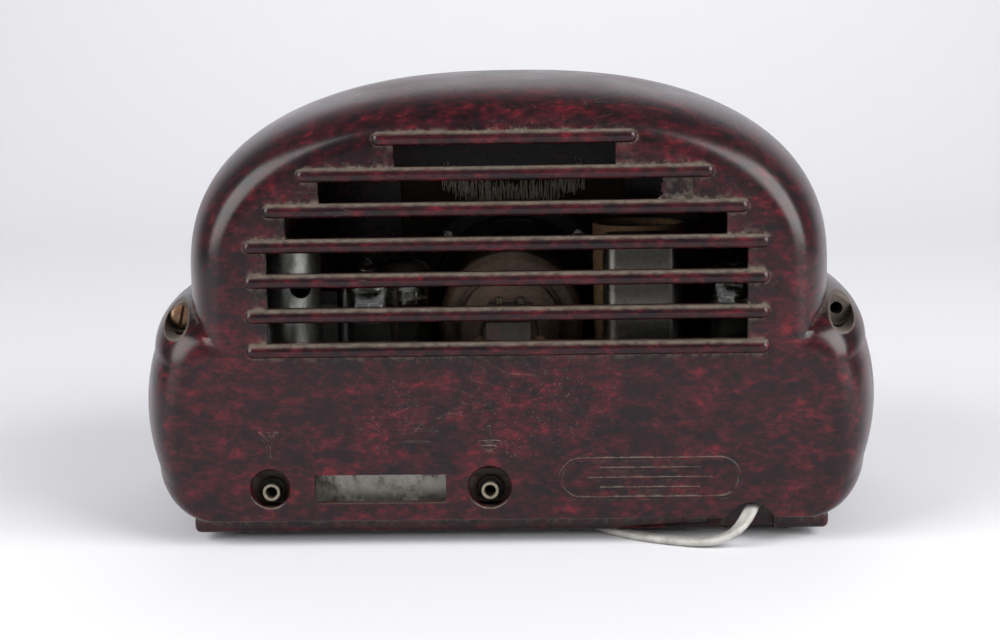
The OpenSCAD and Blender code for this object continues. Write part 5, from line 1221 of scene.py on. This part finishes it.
# Controls
# Two steel spindles leave the front through the case. Each takes a knob of the same mottled
# bakelite as the case, fluted round the grip and with a narrow skirt.
KNOB_R, KNOB_BACK, KNOB_FRONT, GRIP_R, SKIRT_H, FLUTES = 12.5, -76.5, -91, 11.3, 3, 18
SPINDLE_TIP, THREAD_R = -89, 4.45
FLUTE_DEPTH, FLUTE_EDGE = 0.062, GRIP_R - 3.2
steel_rod = worn_metal("turned_steel", (0.56, 0.56, 0.55), (0.20, 0.17, 0.14),
                       cover=0.3, rough=0.26, scale=160)
bush = turned("bush_turned", brass, (CONTROL_X, 0, CONTROL_Z), [
    (SPINDLE_BORE, CHASSIS_FRONT), (THREAD_R, CHASSIS_FRONT), (THREAD_R, CHASSIS_FRONT + 1),
    (6.5, CHASSIS_FRONT + 1), (6.5, CHASSIS_FRONT + 3), (THREAD_R, CHASSIS_FRONT + 3),
    (THREAD_R, CHASSIS_FRONT + 8), (SPINDLE_BORE, CHASSIS_FRONT + 8)], "Y", 0.25, 56)
stands_for(bush, "yellow_brass", "spindle_bush")
for control, x, end in (("tuning", CONTROL_X, -48), ("volume", -CONTROL_X, -51)):
    spindle = turned(control + "_spindle_turned", steel_rod, (x, 0, CONTROL_Z),
                     hoop(0, SPINDLE_R, SPINDLE_TIP, end), "Y", 0.4, 48)
    stands_for(spindle, "spindle_steel", control + "_spindle", body=control)
control_metal = worn_metal("control_case", (0.45, 0.44, 0.40), (0.18, 0.15, 0.12), cover=0.5, rough=0.4)
track_case = turned("control_case", control_metal, (-CONTROL_X, 0, CONTROL_Z), [
    (SPINDLE_BORE, -64), (THREAD_R, -64), (THREAD_R, CHASSIS_FRONT + 1), (9, CHASSIS_FRONT + 1),
    (9, CHASSIS_FRONT + 12), (SPINDLE_BORE, CHASSIS_FRONT + 12)], "Y", 0.5, 64)
stands_for(track_case, "chassis_steel", "volume_control")

knob_finish = mottled_bakelite("knob_bakelite", 0.7)
profile = [(0, SPINDLE_TIP), (SPINDLE_BORE, SPINDLE_TIP), (SPINDLE_BORE, KNOB_BACK), (KNOB_R, KNOB_BACK),
           (KNOB_R, KNOB_BACK - SKIRT_H), (GRIP_R, KNOB_BACK - SKIRT_H - 0.5)]
profile += [(GRIP_R, KNOB_BACK - 4 - k * 1.5) for k in range(1, 5)]
profile += [(GRIP_R - 0.4, KNOB_FRONT + 3), (GRIP_R - 1.3, KNOB_FRONT + 0.7), (GRIP_R - 2.8, KNOB_FRONT),
            (GRIP_R - 4.2, KNOB_FRONT + 0.45), (0, KNOB_FRONT + 0.6)]
for control, x in (("tuning", CONTROL_X), ("volume", -CONTROL_X)):
    knob = turned(control + "_knob_moulding", knob_finish, (0, 0, 0), profile, "Y", 0.45, FLUTES * 10)
    for v in knob.data.vertices:
        out = math.hypot(v.co.x, v.co.z) * 1000
        depth = v.co.y * 1000 - PARTING
        if out > FLUTE_EDGE and depth < KNOB_BACK - SKIRT_H - 0.4:
            wave = (0.5 + 0.5 * math.cos(FLUTES * math.atan2(v.co.z, v.co.x))) ** 1.6
            fade = min(1, (out - FLUTE_EDGE) / 1.4)
            v.co.x *= 1 - FLUTE_DEPTH * wave * fade
            v.co.z *= 1 - FLUTE_DEPTH * wave * fade
        v.co += at(x, -PARTING, CONTROL_Z)
    stands_for(knob, "knob_bakelite", control + "_knob", body=control)

# Dial
# A printed strip behind the front slit carries the scale. A red pointer slides along a rail in
# front of it, with a small lamp at one end, and a clear celluloid window closes the slit.
SCALE_Y, SCALE_X, SCALE_ENDS, DIAL_LOW, DIAL_HIGH = 9.6 - HALF_D, 42, 34, 14.3, 24.8
SCALE_FACE, INK, LINE_Z, NUMBER_Z = SCALE_Y - 0.6, 0.03, 16.4, 21.9
card_print = Finish("dial_card")
yellowed = card_print.noise(40, 4, 0.6)
dial_card = card_print.surface(
    Base_Color=card_print.mix(yellowed, (0.46, 0.37, 0.20), (0.72, 0.64, 0.44)),
    Roughness=yellowed * 0.2 + 0.4, Normal=card_print.bump(card_print.noise(700, 2), 0.0001, 0.2))
ink = matt("dial_ink", (0.012, 0.01, 0.01), (0.05, 0.03, 0.025), 300, 0.5, 0.1)


def ink_mark(x0, x1, z0, z1):
    """A printed line, a hair proud of the card."""
    return block(ink, (x0, SCALE_FACE - INK, z0), (x1, SCALE_FACE + 0.1, z1), 0.02, 1)


parts = [block(dial_card, (-SCALE_X, SCALE_FACE, DIAL_LOW), (SCALE_X, SCALE_Y, DIAL_HIGH), 0.12)]
for side in (-1, 1):
    parts.append(turned("stud", plated, (side * (SCALE_X - 6), 0, DIAL_LOW + 1.2), [
        (0, SCALE_Y - 0.3), (1, SCALE_Y - 0.3), (1, CHASSIS_FRONT), (0, CHASSIS_FRONT)], "Y", 0.1, 24))
for i in range(41):
    x, tall = -SCALE_ENDS + 2 * SCALE_ENDS * i / 40, 2.6 if i % 5 == 0 else 1.3
    parts.append(ink_mark(x - 0.14, x + 0.14, LINE_Z, LINE_Z + tall))
parts.append(ink_mark(-SCALE_ENDS - 1, SCALE_ENDS + 1, LINE_Z - 0.3, LINE_Z))
for i in range(9):
    lettering = bpy.data.curves.new("number", "FONT")
    lettering.body, lettering.size, lettering.extrude = str(20 + 10 * i), 0.0036, 0.00004
    lettering.align_x, lettering.align_y, lettering.resolution_u = "CENTER", "CENTER", 3
    holder = placed("number", lettering)
    drawn = bpy.data.meshes.new_from_object(holder.evaluated_get(bpy.context.evaluated_depsgraph_get()))
    bpy.data.objects.remove(holder)
    bm = bmesh.new()
    bm.from_mesh(drawn)
    bmesh.ops.remove_doubles(bm, verts=bm.verts, dist=1e-7)
    bmesh.ops.rotate(bm, verts=bm.verts, matrix=Matrix.Rotation(math.pi / 2, 3, "X"))
    number_at = at(-SCALE_ENDS + 2 * SCALE_ENDS * i / 8, SCALE_FACE, NUMBER_Z)
    bmesh.ops.translate(bm, verts=bm.verts, vec=number_at)
    parts.append(piece_from(bm, "number", ink, 30))
stands_for(joined("printed_scale", *parts), "dial_print", "dial_scale")

celluloid = Finish("celluloid")
aged = celluloid.noise(50, 4, 0.6)
celluloid = celluloid.surface(
    Base_Color=celluloid.mix(aged, (0.88, 0.78, 0.52), (0.97, 0.93, 0.80)), Roughness=aged * 0.2,
    IOR=1.3, Transmission_Weight=1.0)
window = block(celluloid, (-SCALE_X, -INNER_Y, DIAL_LOW + 0.3), (SCALE_X, 1 - INNER_Y, DIAL_HIGH + 1.5), 0.3)
window.name = "celluloid_strip"
stands_for(window, "celluloid", "dial_window")
dress(cad["pointer_rail"], steel_rod)
lacquer = matt("pointer_lacquer", (0.34, 0.02, 0.012), (0.55, 0.045, 0.02), 200, 0.35, 0.15)
dress(cad["dial_pointer"], lacquer)

LAMP_X, LAMP_Y, LAMP_Z, LAMP_R, CAP_R = -50, 12.8 - HALF_D, 21, 2.9, 3.4
shell = [(0, LAMP_X - 16), (CAP_R, LAMP_X - 16)]
for i in range(4):
    shell += [(CAP_R, LAMP_X - 15.4 + 1.8 * i), (CAP_R - 0.25, LAMP_X - 14.8 + 1.8 * i)]
shell += [(CAP_R, LAMP_X - 8.4), (CAP_R, LAMP_X - 8), (0, LAMP_X - 8)]
holder = turned("holder", brass, (0, LAMP_Y, LAMP_Z), shell, "X", 0.2, 40)
bracket = block(plated, (LAMP_X - 13, LAMP_Y + 2, LAMP_Z - LAMP_R),
                (LAMP_X - 10, CHASSIS_FRONT, LAMP_Z + LAMP_R), 0.3)
stands_for(joined("lamp_holder_turned", holder, bracket), "yellow_brass", "lamp_holder")
ball = [(0, LAMP_X - 8), (2.6, LAMP_X - 8), (2.6, LAMP_X - 5.2)]
ball += [(LAMP_R * math.cos(math.radians(a)), LAMP_X - LAMP_R + LAMP_R * math.sin(math.radians(a)))
         for a in range(-24, 90, 9)] + [(0, LAMP_X)]
lamp_glass = turned("lamp_glass", bulb_glass, (0, LAMP_Y, LAMP_Z), ball, "X", 0.15, 40, 60)
loop = ((-6, 0.8), (-3.4, 1), (-2.6, 0), (-3.4, -1), (-6, -0.8))
filament = wire(nickel, [(LAMP_X + a, LAMP_Y, LAMP_Z + b) for a, b in loop], 0.1, 8, "filament")
stands_for(joined("small_lamp", lamp_glass, filament), "lamp_glass", "dial_lamp")

# Cord clamp, tie and plug
# A block with two screws grips the cord inside the notch. The spare cord is held by a band of
# woven tape, and ends in a round-shouldered two-pin plug of brown bakelite.
CLAMP_X = NOTCH_X - 3
clamp = block(laminate, (CLAMP_X - 8, 50, 12.4), (CLAMP_X + 8, 58, 17), 0.6, 4)
heads = [screw_head(plated, (CLAMP_X + side * 5.5, 54, 17), 1.8, 1.4, "Z", 0.5, 40 * side, (0.9, 2))
         for side in (-1, 1)]
stands_for(joined("clamp_block", clamp, *heads), "board", "cord_clamp")

tape = Finish("woven_tape")
warp = tape.bands("X", 480, 0.4)
tape = tape.surface(
    Base_Color=tape.mix(warp * 0.6 + tape.noise(200) * 0.4, (0.055, 0.048, 0.04), (0.17, 0.155, 0.13)),
    Roughness=warp * 0.1 + 0.8, Normal=tape.bump(warp, 0.0001, 0.6))
TIE_Y, TIE_Z, TIE_T = (-109.3, -89.3), (0.2, 7.4), 0.5
band = box_tool((17, TIE_Y[0], TIE_Z[0]), (23, TIE_Y[1], TIE_Z[1]))
hollow = box_tool((15, TIE_Y[0] + TIE_T, TIE_Z[0] + TIE_T), (25, TIE_Y[1] - TIE_T, TIE_Z[1] - TIE_T))
for part, r in ((band, 1.5), (hollow, 1.1)):
    bm = bmesh.new()
    bm.from_mesh(part.data)
    along = [e for e in bm.edges if abs(e.verts[0].co.x - e.verts[1].co.x) > 0.001]
    round_off(bm, along, r, 6)
    bm.to_mesh(part.data)
    bm.free()
combine(band, hollow)
band.name = "tape_band"
shade(band.data, 35)
stands_for(dress(band, tape), "tie_fabric", "cord_tie")

plug_moulding = matt("plug_moulding", (0.035, 0.013, 0.008), (0.08, 0.03, 0.015), 60, 0.27, 0.1, dust=0.25)
PIN_GAP, PIN_R = 19, 2
PLUG_PLAN = [(0, 6), (6, 7), (12, 13), (17, 17), (22, 18), (30, 18)]
PLUG_SIDE = [(0, 4.5), (6, 5), (12, 6.6), (17, 7), (30, 7)]


def prism(outline, low, high, level="XY"):
    """A flat outline in millimetres, thickened between two heights."""
    bm = thickened([(a / 1000, b / 1000, low / 1000) for a, b in outline], (0, 0, (high - low) / 1000))
    if level == "XZ":
        bmesh.ops.rotate(bm, verts=bm.verts, matrix=Matrix.Rotation(math.pi / 2, 3, "X"))
    return piece_from(bm, "prism")


def mirrored(half):
    """A closed outline from one long side of it."""
    return half + [(a, -b) for a, b in reversed(half)]


body = prism(soften(mirrored(PLUG_PLAN), 3, 4, closed=True), -8, 8)
combine(body, prism(soften(mirrored(PLUG_SIDE), 1.6, 3, closed=True), -20, 20, "XZ"), operation="INTERSECT")
bm = bmesh.new()
bm.from_mesh(body.data)
bmesh.ops.dissolve_limit(bm, angle_limit=math.radians(2), verts=bm.verts, edges=bm.edges)
edges = [e for e in bm.edges if len(e.link_faces) == 2 and e.calc_face_angle() > math.radians(50)]
round_off(bm, edges, 1.1, 4, clamp=True)
bpy.data.objects.remove(body)
body = piece_from(bm, "plug_body", plug_moulding, 30)
groove = prism(mirrored([(a - 0.5 if a < 15 else a + 0.5, b + 0.5) for a, b in PLUG_PLAN]), -0.2, 0.2)
core = prism(mirrored([(15 + 0.955 * (a - 15), 0.955 * b) for a, b in PLUG_PLAN]), -1, 1)
combine(groove, core)
entry = prism([(-1, 2.8), (TAIL_IN, 2.8), (TAIL_IN, -2.8), (-1, -2.8)], -1.55, 1.55)
sink = prism(arc(16, 0, 3.5, 0, 345, 23), 4.4, 9)
combine(body, groove, entry, sink)
shade(body.data, 30)
body.data.transform(Matrix.Translation(at(PLUG_FACE, plug_y, PLUG_Z)))
plug = dress(body, plug_moulding)
plug.name = "plug_moulded"
stands_for(plug, "plug_bakelite", "mains_plug")

pins = []
for side in (-1, 1):
    tip = [(PIN_R * math.cos(math.radians(a)), 47 + PIN_R * math.sin(math.radians(a)))
           for a in range(0, 91, 10)]
    pins.append(turned("pin", brass, (PLUG_FACE, plug_y + side * PIN_GAP / 2, PLUG_Z),
                       [(0, 20.3), (1.6, 20.3), (1.6, 30), (PIN_R, 30)] + tip, "X", 0.08, 40))
pins = joined("plug_pins_turned", *pins)
stands_for(pins, "yellow_brass", "plug_pins")
plug_bolt = screw_head(plated, (PLUG_FACE + 16, plug_y, PLUG_Z + 4.4), 3, 1.8, "Z", 0.8, 90, (1.5, 8.4))
plug_bolt.name = "plug_bolt"
stands_for(plug_bolt, "plated_screws", "plug_screw")
